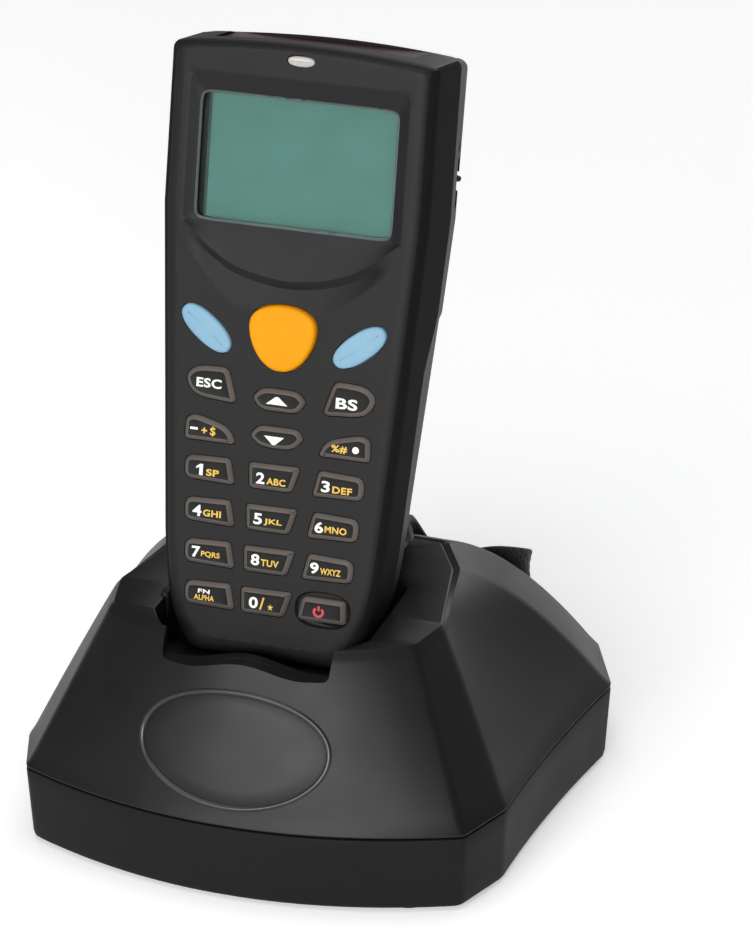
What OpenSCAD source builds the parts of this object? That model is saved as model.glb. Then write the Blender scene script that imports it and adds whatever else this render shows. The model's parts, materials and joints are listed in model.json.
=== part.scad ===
// Portable barcode data terminal standing in its desk cradle.
// The cradle stands on the XY plane with its front towards -Y. The terminal leans back in the well.
// Inside terminal_frame(): X is across, Y runs up the terminal's face, Z points out of the face.

/* [Terminal case] */
// Length of the terminal, from the face's lower edge to the middle of its top edge
term_l = 122; // [110:1:135]
// Full width of the head
head_w = 55.2; // [50:0.2:60]
// How far each side comes in per millimetre below the head
side_taper = 0.065; // [0.03:0.005:0.08]
// Height on the face where the sides start to come in
taper_from = 88; // [80:1:100]
// How far the lower end reaches below the face's edge
end_drop = 2.5; // [1:0.5:4]
// Width of each rounded lower corner
corner_w = 8; // [5:0.5:10]
// Height of each rounded lower corner
corner_h = 26.5; // [18:0.5:30]
// Rise of the top edge's arc
top_rise = 1.6; // [0.5:0.1:3]
// Depth from the face to the back at the head's top
head_t = 28; // [26:0.5:32]
// Depth from the face to the back at the grip's lower end
grip_t = 22.4; // [22.4:0.2:24]
// Depth of the step between head and grip
grip_step = 1.4; // [0.5:0.1:2]
// Height on the face of that step
step_s = 68; // [66:0.5:70]
// Depth of the joint line at the head
joint_head = 17.2; // [15:0.2:19]
// Depth of the joint line at the grip
joint_grip = 12.8; // [11:0.2:14]
// Radius of the rounded front edge
edge_r = 3.5; // [2:0.5:4.5]
// Thickness of the face
face_wall = 1.6; // [1.4:0.1:2]
// Thickness of the case's other walls
case_wall = 2; // [1.6:0.1:2.4]

/* [Display] */
// Width of the display opening
lcd_w = 41.4; // [36:0.2:43]
// Height of the display opening
lcd_h = 26.1; // [22:0.2:28]
// Distance of the opening's middle below the top edge
lcd_drop = 23.6; // [22:0.2:28]
// Thickness of the clear window
window_t = 1.2; // [0.8:0.1:1.6]
// Thickness of the display panel
lcd_t = 2; // [1.5:0.1:2.2]
// Width of the display frame's rim
lcd_rim = 1.6; // [1:0.1:2]
// Width of the status light
led_w = 5.7; // [4:0.1:7]
// Height of the status light
led_h = 2.4; // [1.6:0.1:3]
// Distance of the status light below the top edge
led_drop = 3; // [2.8:0.1:4.5]

/* [Keys] */
// Distance between the rows of number keys
row_pitch = 8.53; // [7.8:0.05:9]
// Height of the 1 2 3 row on the face
row_s = 35.6; // [34:0.1:36]
// Distance between the outer keys of that row and the head's side
key_side = 8.88; // [8.2:0.01:10]
// Distance between two keys of that row
key_between = 3.27; // [2.6:0.01:4]
// How much the columns close up in each row below it
column_step = 0.53; // [0:0.05:0.7]
// Height of a number key
key_h = 5; // [4:0.1:6]
// How far the number keys stand out of the face
key_up = 0.9; // [0.5:0.1:1.6]
// Width of the scan key at its top
scan_w = 13.9; // [12:0.1:15]
// Height of the scan key
scan_h = 12.9; // [11:0.1:14]
// How far the scan key stands out of the face
scan_up = 1.6; // [1:0.1:2.5]
// Length of a blue side key
petal_l = 12; // [10:0.1:13]
// Width of a blue side key
petal_w = 6; // [5:0.1:7]
// Gap round each key in the face
key_gap = 0.25; // [0.2:0.05:0.4]
// Width of the flange that keeps a key in
flange = 0.65; // [0.5:0.05:0.7]
// Thickness of that flange
flange_t = 0.8; // [0.6:0.1:0.9]
// How far a key travels
key_travel = 0.8; // [0.5:0.1:0.8]
// Clearance of a key's flange under the face
flange_gap = 0.15; // [0.1:0.05:0.2]
// Radius of a key's plunger
plunger_r = 1.3; // [1:0.1:1.5]

/* [Inside the terminal] */
// Thickness of the main board
board_t = 1.2; // [0.8:0.1:1.6]
// Depth of the board's front side
board_n = 6; // [6:0.1:6.6]
// Gap between the board's edge and the case
board_gap = 0.8; // [0.5:0.1:1.5]
// Thickness of the keypad mat
mat_t = 0.8; // [0.6:0.1:1]
// Height of a key's contact dome
dome_t = 0.4; // [0.3:0.05:0.5]
// Diameter of a battery cell
cell_d = 10.5; // [10:0.1:10.8]
// Length of a battery cell
cell_l = 44.5; // [43:0.5:45]
// Gap between the cells and their bay
cell_gap = 0.3; // [0.2:0.1:0.5]
// Thickness of the battery door
door_t = 1.6; // [1.2:0.1:1.8]
// Gap round the battery door
door_gap = 0.2; // [0.15:0.05:0.4]
// Height on the face of the door's hinge
hinge_s = 17.2; // [16:0.2:18]
// Radius of the hinge pin
pin_r = 0.75; // [0.6:0.05:0.9]
// Running clearance of the hinge pin in the door
pin_gap = 0.05; // [0.03:0.01:0.08]
// Radius of the door's hinge barrel
barrel_r = 1.6; // [1.4:0.1:1.8]
// Half length of the door's hinge barrel
barrel_x = 7; // [5:0.5:8]
// Width of the scan window
scan_win_w = 41; // [34:0.5:42]
// Height of the scan window
scan_win_h = 13; // [10:0.5:14]
// Depth of the scan window's middle
scan_win_n = 14; // [13:0.5:15]
// Radius of a screw boss
boss_r = 2.4; // [2:0.1:2.6]
// Radius of a screw's shank
screw_r = 1; // [0.8:0.1:1.2]
// Radius of a screw's head
screw_head_r = 1.9; // [1.5:0.1:2]

/* [Cradle] */
// How far the terminal leans back, in degrees
lean = 13; // [10:0.5:16]
// Height of the terminal's lower face edge above the table
seat_z = 44.67; // [43:0.2:46]
// Distance of that edge from the cradle's middle
seat_y = -27.6; // [-29:0.2:-26]
// Height of the deck
deck_z = 51; // [49:0.5:54]
// Height of the joint between the top shell and the base
seam_z = 17.1; // [14:0.5:20]
// Half width of the deck at its front corners
deck_front_x = 32.1; // [30:0.1:34]
// Half width of the deck at its widest
deck_side_x = 34.5; // [33:0.1:36]
// Half width of the deck where its rear corners start
deck_back_x = 29; // [27:0.1:31]
// Half width of the deck's rear edge
deck_rear_x = 22.7; // [20:0.1:25]
// Depth of the deck in front of the cradle's middle
deck_front = 38.8; // [37:0.1:41]
// Depth of the deck behind the cradle's middle
deck_rear = 18.7; // [17:0.1:21]
// Rise of the deck's front arc
deck_arc = 11.2; // [8:0.2:13]
// Half width of the foot at its front corners
foot_front_x = 46.7; // [44:0.1:49]
// Half width of the foot behind the front corners
foot_side_x = 51.35; // [49:0.1:53]
// Half width of the foot at its widest
foot_back_x = 56.5; // [54:0.1:59]
// Half width of the foot's rear edge
foot_rear_x = 48.3; // [44:0.1:51]
// Depth of the foot in front of and behind the cradle's middle
foot_d = 52; // [49:0.5:56]
// Rise of the foot's front arc
foot_arc = 10.8; // [8:0.2:13]
// Rise of the foot's rear arc
foot_rear_arc = 3.8; // [1:0.2:6]
// Thickness of the cradle's walls
shell_wall = 2.2; // [1.8:0.1:2.8]
// How far the base comes in towards the table
base_draft = 0.9; // [0.4:0.1:1.5]
// Gap of the joint between the top shell and the base
seam_gap = 0.3; // [0.2:0.05:0.5]
// Clearance of the terminal in the well
well_gap = 0.3; // [0.3:0.05:0.5]
// Half width of the well
well_x = 22.6; // [22.6:0.1:23.2]
// How far the well reaches in front of the terminal's face
well_front = 8; // [6:0.5:8.5]
// How far the well reaches behind the terminal's face
well_back = 38; // [34:0.5:40]
// Half width of the notch in the front lip
notch_x = 18; // [16:0.2:19]
// Depth of the notch below the deck
notch_h = 5.2; // [4:0.1:6]
// Radius of a foot pad
pad_r = 5; // [4:0.5:6]
// Thickness of a foot pad
pad_t = 1; // [0.8:0.1:1.5]
// How far the pads stand below the base
pad_out = 0.4; // [0.3:0.1:0.6]

/* [Strap] */
// Width of the woven strap
strap_w = 7; // [5:0.5:8]
// Thickness of the woven strap
strap_t = 1.3; // [1:0.1:1.6]
// Diameter of the thin loop that holds the strap
loop_d = 1.2; // [0.8:0.1:1.6]
// Radius of the strap bar
bar_r = 1; // [0.8:0.1:1.3]
// Distance of the strap slot's lower end below the top edge
slot_drop = 32; // [30:0.5:34]
// Height of the strap slot
slot_h = 10; // [8:0.5:12]

/* [Hidden] */
$fn = 32;
slack = 0.01; // how far cuts run past the faces that they open

// ---------------------------------------------------------------- shared shapes

// Rounded outline with half sizes a and b. A higher power is squarer, and lean_in narrows the bottom.
function blob(a, b, power = 2, lean_in = 0, steps = 24) = [
    for (i = [0 : steps - 1])
        let (t = 360 * i / steps, c = cos(t), s = sin(t))
        let (y = sign(s) * b * pow(abs(s), 2 / power))
        [sign(c) * a * pow(abs(c), 2 / power) * (1 + lean_in * y / b), y]
];

// A ring of points from the right half's points, with the left half mirrored behind it.
function ring(half) = concat(half, [for (i = [len(half) - 1 : -1 : 0]) [-half[i].x, half[i].y, half[i].z]]);

// Solid through mirrored rings, listed from the lowest to the highest.
module loft(halves) {
    rings = [for (h = halves) ring(h)];
    n = len(halves[0]);
    size = 2 * n;
    top = (len(rings) - 1) * size;
    walls = [
        for (j = [0 : len(rings) - 2], i = [0 : size - 1])
            let (a = j * size + i, b = j * size + (i + 1) % size)
            each [[a, a + size, b + size], [a, b + size, b]]
    ];
    ends = [
        for (i = [0 : n - 2])
            let (r = i, r2 = i + 1, l = size - 1 - i, l2 = size - 2 - i)
            each [[r, r2, l2], [r, l2, l], [top + l2, top + r2, top + r], [top + l, top + l2, top + r]]
    ];
    polyhedron(points = [for (r = rings) each r], faces = concat(walls, ends));
}

// ---------------------------------------------------------------- terminal case

module terminal_frame() translate([0, seat_y, seat_z]) rotate([90 - lean, 0, 0]) children();

corner_power = 2.4;
corner_top = corner_h - end_drop;
head_x = head_w / 2;
function side_line(s) = head_x - side_taper * max(0, taper_from - s);
function corner_part(s) = min(1, max(0, (corner_top - s) / corner_h));
function corner_cut(s) = corner_w * (1 - pow(1 - pow(corner_part(s), corner_power), 1 / corner_power));
function side_x(s) = side_line(s) - corner_cut(s);
function top_s(x) = term_l - top_rise * pow(x / head_x, 2);

head_corner = 1.7; // how far the head's top corners are cut
head_end = term_l - 6;
function spread(low, high, count) = [for (i = [0 : count - 1]) low + (high - low) * i / count];
side_s = concat(
    [for (a = [90 : -15 : 15]) corner_top - corner_h * sin(a)],
    spread(corner_top, step_s - 6, 4),
    [step_s - 6, step_s - 0.8],
    spread(step_s + 0.6, taper_from, 2),
    spread(taper_from, head_end, 3),
    [head_end, top_s(head_x) - head_corner]
);
half_case = concat(
    [for (s = side_s) [side_x(s), s]],
    [for (x = [head_x - 0.3 * head_corner, head_x - head_corner, head_x / 2, head_x / 6])
        [x, top_s(x) - (x > head_x - 1 ? 0.3 * head_corner : 0)]]
);
case_mid = term_l / 2;
// The case's half outline, drawn in by inset, at the depths that depth() gives for its points.
function case_half(inset, depths, top = 1) = [
    for (i = [0 : len(half_case) - 1])
        let (up = half_case[i].y - case_mid)
        [
            half_case[i].x * (1 - inset / head_x),
            case_mid + up * (1 - inset * (up > 0 ? top : 1) / case_mid),
            depths[i]
        ]
];

// A half outline with its left half added.
function mirrored(half) = concat(half, [for (i = [len(half) - 1 : -1 : 0]) [-half[i].x, half[i].y]]);
function smooth(t) = let (u = min(1, max(0, t))) u * u * (3 - 2 * u);
function joint_n(s) = -(joint_grip + (joint_head - joint_grip) * smooth((s - 56) / 14));
grip_top_t = head_t - 0.03 * (term_l - step_s) - grip_step;
grip_low_s = 28;
function grip_n(s) = -(grip_t + (grip_top_t - grip_t) * max(0, s - grip_low_s) / (step_s - grip_low_s));
function head_n(s) = -(head_t - 0.03 * (term_l - s));
function back_n(s) = s > step_s ? head_n(s) : grip_n(s);
joints = [for (p = half_case) joint_n(p.y)];
function backs(in) = [for (p = half_case) back_n(p.y) + in];
function levels(n) = [for (p = half_case) n];
top_edge = 0.35; // how much tighter the front edge is rounded at the top
function edge_in(n) = edge_r * (1 - sqrt(max(0, 1 - pow((n + edge_r) / edge_r, 2))));

module front_outer() loft(concat(
    [case_half(0, joints), case_half(0, levels(-edge_r))],
    [for (n = [-2.2, -1.2, -0.45]) case_half(edge_in(n), levels(n), top_edge)],
    [case_half(edge_r, levels(0), top_edge)]
));
module front_inner() loft([
    case_half(case_wall, [for (j = joints) j - 1]),
    case_half(case_wall, levels(-edge_r - 0.5)),
    case_half(case_wall + edge_in(-face_wall), levels(-face_wall), 0.7)
]);
rear_in = 0.15; // how far the rear case stays inside the front one at the joint
module rear_outer() loft([
    case_half(4.4, backs(0)),
    case_half(2.6, backs(0.6)),
    case_half(1.3, backs(2.2)),
    case_half(0.8, backs(5)),
    case_half(rear_in, joints)
]);
module rear_inner() loft([
    case_half(5.2, backs(case_wall)),
    case_half(case_wall + 1.2, backs(case_wall + 2.4)),
    case_half(case_wall + rear_in, [for (j = joints) j + 1])
]);

boss_at = [[head_x - 5.1, term_l - 5.5], [head_x - 14.1, 3.2]];
module at_bosses() for (p = boss_at, side = [-1, 1]) translate([side * p.x, p.y, 0]) children();
boss_top_n = -face_wall - 0.6;
screw_seat_n = -head_t + 8; // depth of the faces that the screws' heads sit on
module column(r, low, high) translate([0, 0, low]) cylinder(r = r, h = high - low);

lcd_s = term_l - lcd_drop;
led_s = term_l - led_drop;
slot_s = term_l - slot_drop;
led_seat = 0.4; // how far the light's lens stands inside its hole
module case_shape(half_w, half_h, s, low, high, power = 8, steps = 32)
    translate([0, s, low]) linear_extrude(high - low) polygon(blob(half_w, half_h, power, 0, steps));

scan_win_s = term_l - 3;
scan_win_t = 1.6;
// A block as wide and deep as the window, grown by extra.
module window_block(w, h, n, low_s, high_s, extra)
    translate([-w / 2 - extra, low_s, n - h / 2 - extra])
        cube([w + 2 * extra, high_s - low_s, h + 2 * extra]);
module scan_cut(extra)
    window_block(scan_win_w, scan_win_h, -scan_win_n, scan_win_s - 2, scan_win_s + 6, extra);

ir_w = 12;
ir_h = 6;
ir_n = -10.5;
ir_t = 1.6;
module ir_cut(extra) window_block(ir_w, ir_h, ir_n, -end_drop - 1, 5 - end_drop, extra);
pad_x = 11;
pad_n = -15.8;
pad_w = 3;
pad_l = 2;
module at_charge_pads(s) for (side = [-1, 1]) translate([side * pad_x, s, pad_n]) children();

module front_case() color("#26262a") terminal_frame() difference() {
    union() {
        difference() {
            front_outer();
            front_inner();
        }
        intersection() {
            front_outer();
            at_bosses() column(boss_r, -joint_head, boss_top_n + 1.4);
        }
    }
    at_bosses() column(screw_r, -joint_head - 1, boss_top_n);
    case_shape(lcd_w / 2, lcd_h / 2, lcd_s, -face_wall - slack, 1, 12);
    case_shape(led_w / 2, led_h / 2, led_s, -face_wall - slack, 1, 2.6);
    for (k = KEYS) key_place(k) translate([0, 0, -face_wall - slack])
        linear_extrude(face_wall + 1) polygon(key_outline(k, key_gap));
    scan_cut(door_gap);
    ir_cut(door_gap);
}

bay_x = cell_d + 0.5 + cell_gap;
bay_wall = 1.2;
cell_n = -(grip_t - door_t - cell_gap - cell_d / 2);
bay_floor = cell_n + cell_d / 2 + cell_gap;
cell_s = hinge_s + barrel_r + 2.4;
bay_s = [cell_s - 2.1, cell_s + cell_l + 1.6];
door_x = bay_x + 1;
door_top = bay_s[1] - 0.6;
hinge_n = -grip_t + barrel_r;

module x_extrude(half, profile)
    rotate([90, 0, 90]) translate([0, 0, -half]) linear_extrude(2 * half) polygon(profile);
// A rod across, on the door hinge's axis.
module hinge_rod(r, length)
    translate([0, hinge_s, hinge_n]) rotate([0, 90, 0]) cylinder(r = r, h = length, center = true);

// The door's section: flush with the back, with its hinge barrel at the lower end.
function door_profile(in, gap) = [
    [hinge_s, grip_n(hinge_s) - (in ? 0 : 2)],
    [grip_low_s, grip_n(grip_low_s) - (in ? 0 : 2)],
    [door_top + gap, grip_n(door_top) - (in ? 0 : 2)],
    [door_top + gap, grip_n(door_top) + door_t + gap],
    [grip_low_s, grip_n(grip_low_s) + door_t + gap],
    [hinge_s, grip_n(hinge_s) + door_t + gap]
];

module bay_box(low_s, high_s, half, from) translate([-half, low_s, -head_t - 2])
    cube([2 * half, high_s - low_s, from + head_t + 2]);

slot_cut = 6.6; // how far the strap slot cuts into the corner
slot_deep = 6.4;
slot_wall = 1.6;
bar_end = 1.2; // how far the strap bar runs into the walls at the slot's ends
strap_bar_at = [head_x - 3.6, -head_t + 2.5];
module slot_block(out)
    translate([head_x - slot_cut - out, slot_s - out, -head_t - 1])
        cube([slot_cut + 2, slot_h + 2 * out, slot_deep + out]);
module strap_rod()
    translate([strap_bar_at.x, slot_s - bar_end, strap_bar_at.y]) rotate([-90, 0, 0])
        cylinder(r = bar_r, h = slot_h + 2 * bar_end);

module rear_case() color("#2b2b2f") terminal_frame() difference() {
    union() {
        difference() {
            rear_outer();
            rear_inner();
        }
        intersection() {
            rear_outer();
            union() {
                // battery bay
                bay_box(bay_s[0] - bay_wall, bay_s[1] + bay_wall, bay_x + bay_wall, bay_floor + 1);
                bay_box(hinge_s - barrel_r - 1.8, bay_s[0], bay_x + bay_wall, hinge_n + 3.4);
                at_bosses() column(boss_r, -head_t, 0);
                slot_block(slot_wall);
            }
        }
    }
    bay_box(bay_s[0], bay_s[1], bay_x, bay_floor);
    // the pocket that the door's barrel turns in
    translate([-barrel_x - 0.3, hinge_s - barrel_r - 0.4, -head_t])
        cube([2 * barrel_x + 0.6, 2 * barrel_r + 2.6, hinge_n + barrel_r + 0.4 + head_t]);
    x_extrude(door_x + door_gap, door_profile(false, door_gap));
    hinge_rod(pin_r, 2 * barrel_x + 8);
    at_bosses() column(screw_r + 0.3, -head_t - 2, 2);
    at_bosses() column(screw_head_r + 0.3, -head_t - 2, screw_seat_n);
    slot_block(0);
    strap_rod();
    scan_cut(door_gap);
    ir_cut(door_gap);
    at_charge_pads(-end_drop - 1) translate([-pad_w / 2, 0, -pad_w / 2]) cube([pad_w, pad_l + 1, pad_w]);
}

// ---------------------------------------------------------------- keys

// Each key: node, shape, middle across, middle up the face.
key_w = (head_x - key_side - key_between) / 1.5;
column_x = key_w + key_between;
petal_x = head_x - 11.56;
corner_x = column_x + 1.08;
wedge_x = column_x + 0.78;
scan_s = 64;
function row_x(row) = column_x - column_step * row;
function row_at(row) = row_s - row * row_pitch;
KEYS = [
    ["key_scan", "shield", 0, scan_s],
    ["key_left", "petal", -petal_x, scan_s], ["key_right", "petal", petal_x, scan_s],
    ["key_esc", "corner", -corner_x, scan_s - 11.3], ["key_backspace", "corner", corner_x, scan_s - 11.3],
    ["key_up", "lens", 0, row_at(-2) - 1.6], ["key_down", "lens", 0, row_at(-1) - 0.6],
    ["key_minus", "wedge", -wedge_x, row_at(-1) - 0.6], ["key_percent", "wedge", wedge_x, row_at(-1) - 0.6],
    ["key_1", "number", -row_x(0), row_at(0)], ["key_2", "number", 0, row_at(0)],
    ["key_3", "number", row_x(0), row_at(0)],
    ["key_4", "number", -row_x(1), row_at(1)], ["key_5", "number", 0, row_at(1)],
    ["key_6", "number", row_x(1), row_at(1)],
    ["key_7", "number", -row_x(2), row_at(2)], ["key_8", "number", 0, row_at(2)],
    ["key_9", "number", row_x(2), row_at(2)],
    ["key_fn", "number", -row_x(3), row_at(3)], ["key_0", "number", 0, row_at(3)],
    ["key_power", "number", row_x(3), row_at(3)]
];
petal_tilt = 34;
corner_tilt = 12;
function tilt(k) = (k[1] == "petal" ? petal_tilt : k[1] == "corner" ? corner_tilt : 0) * sign(k[2]);
function key_height(k) = k[1] == "shield" ? scan_up : key_up;
function key_outline(k, out) =
    k[1] == "shield" ? blob(scan_w / 2.3 + out, scan_h / 2 + out, 2.5, 0.2)
    : k[1] == "petal" ? blob(petal_l / 2 + out, petal_w / 2 + out, 2.1)
    : k[1] == "corner" ? blob(key_w / 2 - 0.4 + out, key_h * 0.72 + out, 2.6, 0.16)
    : k[1] == "lens" ? blob(key_w / 2 - 0.5 + out, key_h * 0.46 + out, 2.2)
    : blob(key_w / 2 + out, key_h / 2 + out, 4);
module key_place(k) translate([k[2], k[3], 0]) rotate([0, 0, tilt(k)]) children();

rim = 0.6; // how much smaller a key's top is than its foot
mat_n = -face_wall - flange_gap - flange_t - key_travel - 0.25;
plunger_n = -board_n + dome_t + key_travel + 0.1;
module key_cap(k, colour) color(colour) terminal_frame() key_place(k) {
    translate([0, 0, -face_wall - flange_gap]) linear_extrude(key_height(k) - 0.4 + face_wall + flange_gap)
        polygon(key_outline(k, 0));
    translate([0, 0, -face_wall - flange_gap]) linear_extrude(key_height(k) + face_wall + flange_gap)
        polygon(key_outline(k, -rim));
    translate([0, 0, -face_wall - flange_gap - flange_t]) linear_extrude(flange_t)
        polygon(key_outline(k, flange));
    translate([0, 0, plunger_n]) cylinder(r = plunger_r, h = -face_wall - flange_gap - plunger_n);
}
module key_scan() key_cap(KEYS[0], "#f39a12");
module key_left() key_cap(KEYS[1], "#5fa3c6");
module key_right() key_cap(KEYS[2], "#5fa3c6");
module key_esc() key_cap(KEYS[3], "#4a4440");
module key_backspace() key_cap(KEYS[4], "#4a4440");
module key_up() key_cap(KEYS[5], "#4a4440");
module key_down() key_cap(KEYS[6], "#4a4440");
module key_minus() key_cap(KEYS[7], "#4a4440");
module key_percent() key_cap(KEYS[8], "#4a4440");
module key_1() key_cap(KEYS[9], "#4a4440");
module key_2() key_cap(KEYS[10], "#4a4440");
module key_3() key_cap(KEYS[11], "#4a4440");
module key_4() key_cap(KEYS[12], "#4a4440");
module key_5() key_cap(KEYS[13], "#4a4440");
module key_6() key_cap(KEYS[14], "#4a4440");
module key_7() key_cap(KEYS[15], "#4a4440");
module key_8() key_cap(KEYS[16], "#4a4440");
module key_9() key_cap(KEYS[17], "#4a4440");
module key_fn() key_cap(KEYS[18], "#4a4440");
module key_0() key_cap(KEYS[19], "#4a4440");
module key_power() key_cap(KEYS[20], "#4a4440");

mat_low = row_at(3) - 3.6;
mat_mid = 30;
mat_edge = 0.4; // how far the mat reaches past the scan key
mat_high = scan_s + scan_h / 2 + mat_edge;
mat_half = [[head_x - 11.4, mat_low], [head_x - 7.4, mat_mid], [head_x - 6, mat_high]];
mat_skirt = 0.9;
module mat_plate(inset, low, high) translate([0, 0, low]) linear_extrude(high - low) offset(delta = -inset)
    polygon(mirrored(mat_half));
module at_keys(n) for (k = KEYS) translate([k[2], k[3], n]) children();
module keypad_mat() color("#55524e") terminal_frame() difference() {
    mat_plate(0, -board_n, mat_n);
    mat_plate(mat_skirt, -board_n - 1, mat_n - mat_t);
    at_keys(-board_n) cylinder(r = plunger_r + 0.3, h = board_n);
}
dome_r = [1.9, 1.2];
module key_domes() color("#c8c4b4") terminal_frame()
    at_keys(-board_n) cylinder(r1 = dome_r[0], r2 = dome_r[1], h = dome_t);

// ---------------------------------------------------------------- inside the terminal

board_low = 6.2;
board_high = term_l - 5;
board_back = -board_n - board_t;
board_ear = 6; // how far the board's top is cut back beside the screw bosses
board_top_x = head_x - 8.2;
function board_x(s) = side_x(s) - case_wall - board_gap - edge_in(-face_wall) * 0.4;
board_half = concat(
    [for (s = [board_low, 12, 20, 40, 60, taper_from, board_high - board_ear]) [board_x(s), s]],
    [[board_top_x, board_high - board_ear + 0.1], [board_top_x, board_high]]
);
module main_board() color("#1f6b3a") terminal_frame() translate([0, 0, board_back]) linear_extrude(board_t)
    polygon(mirrored(board_half));
chip_t = 0.9;
// Each chip on the board's back: middle across, middle up, width, height.
chips = [[-8, board_high - 43, 12, 12], [9, board_high - 42, 9, 7], [0, board_low + 5.8, 10, 5]];
light_pipe = [6, 2.8, board_n - face_wall - 0.2];
module board_components() color("#202024") terminal_frame() {
    for (c = chips) translate([c[0] - c[2] / 2, c[1] - c[3] / 2, board_back - chip_t])
        cube([c[2], c[3], chip_t]);
    translate([-light_pipe.x / 2, led_s - light_pipe.y / 2 - 0.6, -board_n]) cube(light_pipe);
}
// A plate behind the display opening, larger than it by out all round.
module display_plate(out, low, high)
    case_shape(lcd_w / 2 + out, lcd_h / 2 + out, lcd_s, low, high, 14);
panel_out = 0.6;
module display_window() color([0.75, 0.8, 0.78, 0.4]) terminal_frame()
    display_plate(0.9, -face_wall - window_t, -face_wall);
lcd_n = -face_wall - window_t - 0.2;
module display_panel() color("#62908a") terminal_frame() display_plate(panel_out, lcd_n - lcd_t, lcd_n);
module display_frame() color("#d8d8d0") terminal_frame() difference() {
    display_plate(panel_out + lcd_rim, -board_n, lcd_n - 0.2);
    display_plate(panel_out + 0.05, lcd_n - lcd_t, 0);
}
module status_light_lens() color("#dcdcd8") terminal_frame()
    case_shape(led_w / 2 - 0.1, led_h / 2 - 0.1, led_s, -face_wall, -led_seat, 2.6);
module scan_window() color([0.35, 0.1, 0.08, 0.7]) terminal_frame()
    window_block(scan_win_w, scan_win_h, -scan_win_n, scan_win_s, scan_win_s + scan_win_t, 0);
engine_size = [21, 12, 13];
engine_wall = [2, 3];
engine_n = board_back - engine_size.z / 2;
module scan_engine() color("#9a9aa0") terminal_frame() difference() {
    window_block(engine_size.x, engine_size.z, engine_n, board_high - engine_size.y, board_high, 0);
    window_block(engine_size.x - 2 * engine_wall.x, engine_size.z - 2 * engine_wall.y, engine_n,
        board_high - 5, board_high + 1, 0);
}
round_s = board_high - 24; // where the buzzer and the backup cell sit on the board
buzzer_r = 6;
buzzer_t = 3;
backup_r = 6.2;
backup_t = 2.6;
module buzzer() color("#3a3a3e") terminal_frame()
    translate([-head_x / 2, round_s, board_back - buzzer_t]) cylinder(r = buzzer_r, h = buzzer_t);
module backup_cell() color("#c0c0c4") terminal_frame()
    translate([head_x / 2, round_s, board_back - backup_t]) cylinder(r = backup_r, h = backup_t);

nub_l = 0.9;
nub_r = 2;
cell_x = cell_d / 2 + 0.25;
module battery_cells() color("#c9a23a") terminal_frame() for (side = [-1, 1])
    translate([side * cell_x, cell_s, cell_n]) rotate([-90, 0, 0]) {
        translate([0, 0, side > 0 ? 0 : nub_l]) cylinder(r = cell_d / 2, h = cell_l - nub_l);
        cylinder(r = nub_r, h = cell_l);
    }
contact_t = 0.5;
contact_w = 6;
contact_r = [3, 1.6];
contact_gap = 0.05;
// One plate over both cells at the top, and two plates with spring cones at the bottom.
module cell_contacts() color("#d8d8dc") terminal_frame() {
    translate([-bay_x + 0.6, bay_s[1] - contact_t, cell_n - contact_w / 2])
        cube([2 * bay_x - 1.2, contact_t, contact_w]);
    for (side = [-1, 1]) translate([side * cell_x, 0, cell_n]) {
        translate([-contact_w / 2, bay_s[0], -contact_w / 2]) cube([contact_w, contact_t, contact_w]);
        translate([0, bay_s[0], 0]) rotate([-90, 0, 0])
            cylinder(r1 = contact_r[0], r2 = contact_r[1], h = cell_s - bay_s[0] - contact_gap);
        translate([0, cell_s + cell_l + contact_gap, 0]) rotate([-90, 0, 0])
            cylinder(r = contact_r[1], h = bay_s[1] - cell_s - cell_l - contact_gap);
    }
}
groove_w = 14;
groove_t = 0.35;
groove_pitch = 1.6;
module battery_door() color("#2b2b2f") terminal_frame() difference() {
    union() {
        x_extrude(door_x, door_profile(true, 0));
        hinge_rod(barrel_r, 2 * barrel_x);
    }
    // the plate stops short of the barrel outside the barrel's length
    for (side = [-1, 1]) translate([side * (barrel_x + door_x) / 2 + side * 0.15, hinge_s - 0.01, hinge_n])
        cube([door_x - barrel_x + 0.3, 2 * barrel_r + 1, 4 * barrel_r], center = true);
    hinge_rod(pin_r + pin_gap, 2 * barrel_x + 1);
    // finger grooves near the top
    for (i = [0 : 4]) translate([-groove_w / 2, door_top - 4 - i * groove_pitch, grip_n(door_top) - 1])
        cube([groove_w, 0.7, 1 + groove_t]);
}
module door_hinge_pin() color("#c8c8cc") terminal_frame() hinge_rod(pin_r, 2 * barrel_x + 6);
screw_head_t = 1.6;
module case_screws() color("#8a8a90") terminal_frame() at_bosses() {
    column(screw_head_r, screw_seat_n - screw_head_t, screw_seat_n);
    column(screw_r, screw_seat_n - screw_head_t, boss_top_n - 2);
}
module charge_pads() color("#d6b45a") terminal_frame()
    at_charge_pads(-end_drop) translate([-pad_w / 2, 0, -pad_w / 2]) cube([pad_w, pad_l, pad_w]);
module terminal_ir_window() color([0.2, 0.05, 0.08, 0.8]) terminal_frame()
    window_block(ir_w, ir_h, ir_n, -end_drop, ir_t - end_drop, 0);
module strap_bar() color("#b8b8bc") terminal_frame() strap_rod();

// ---------------------------------------------------------------- cradle

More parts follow.
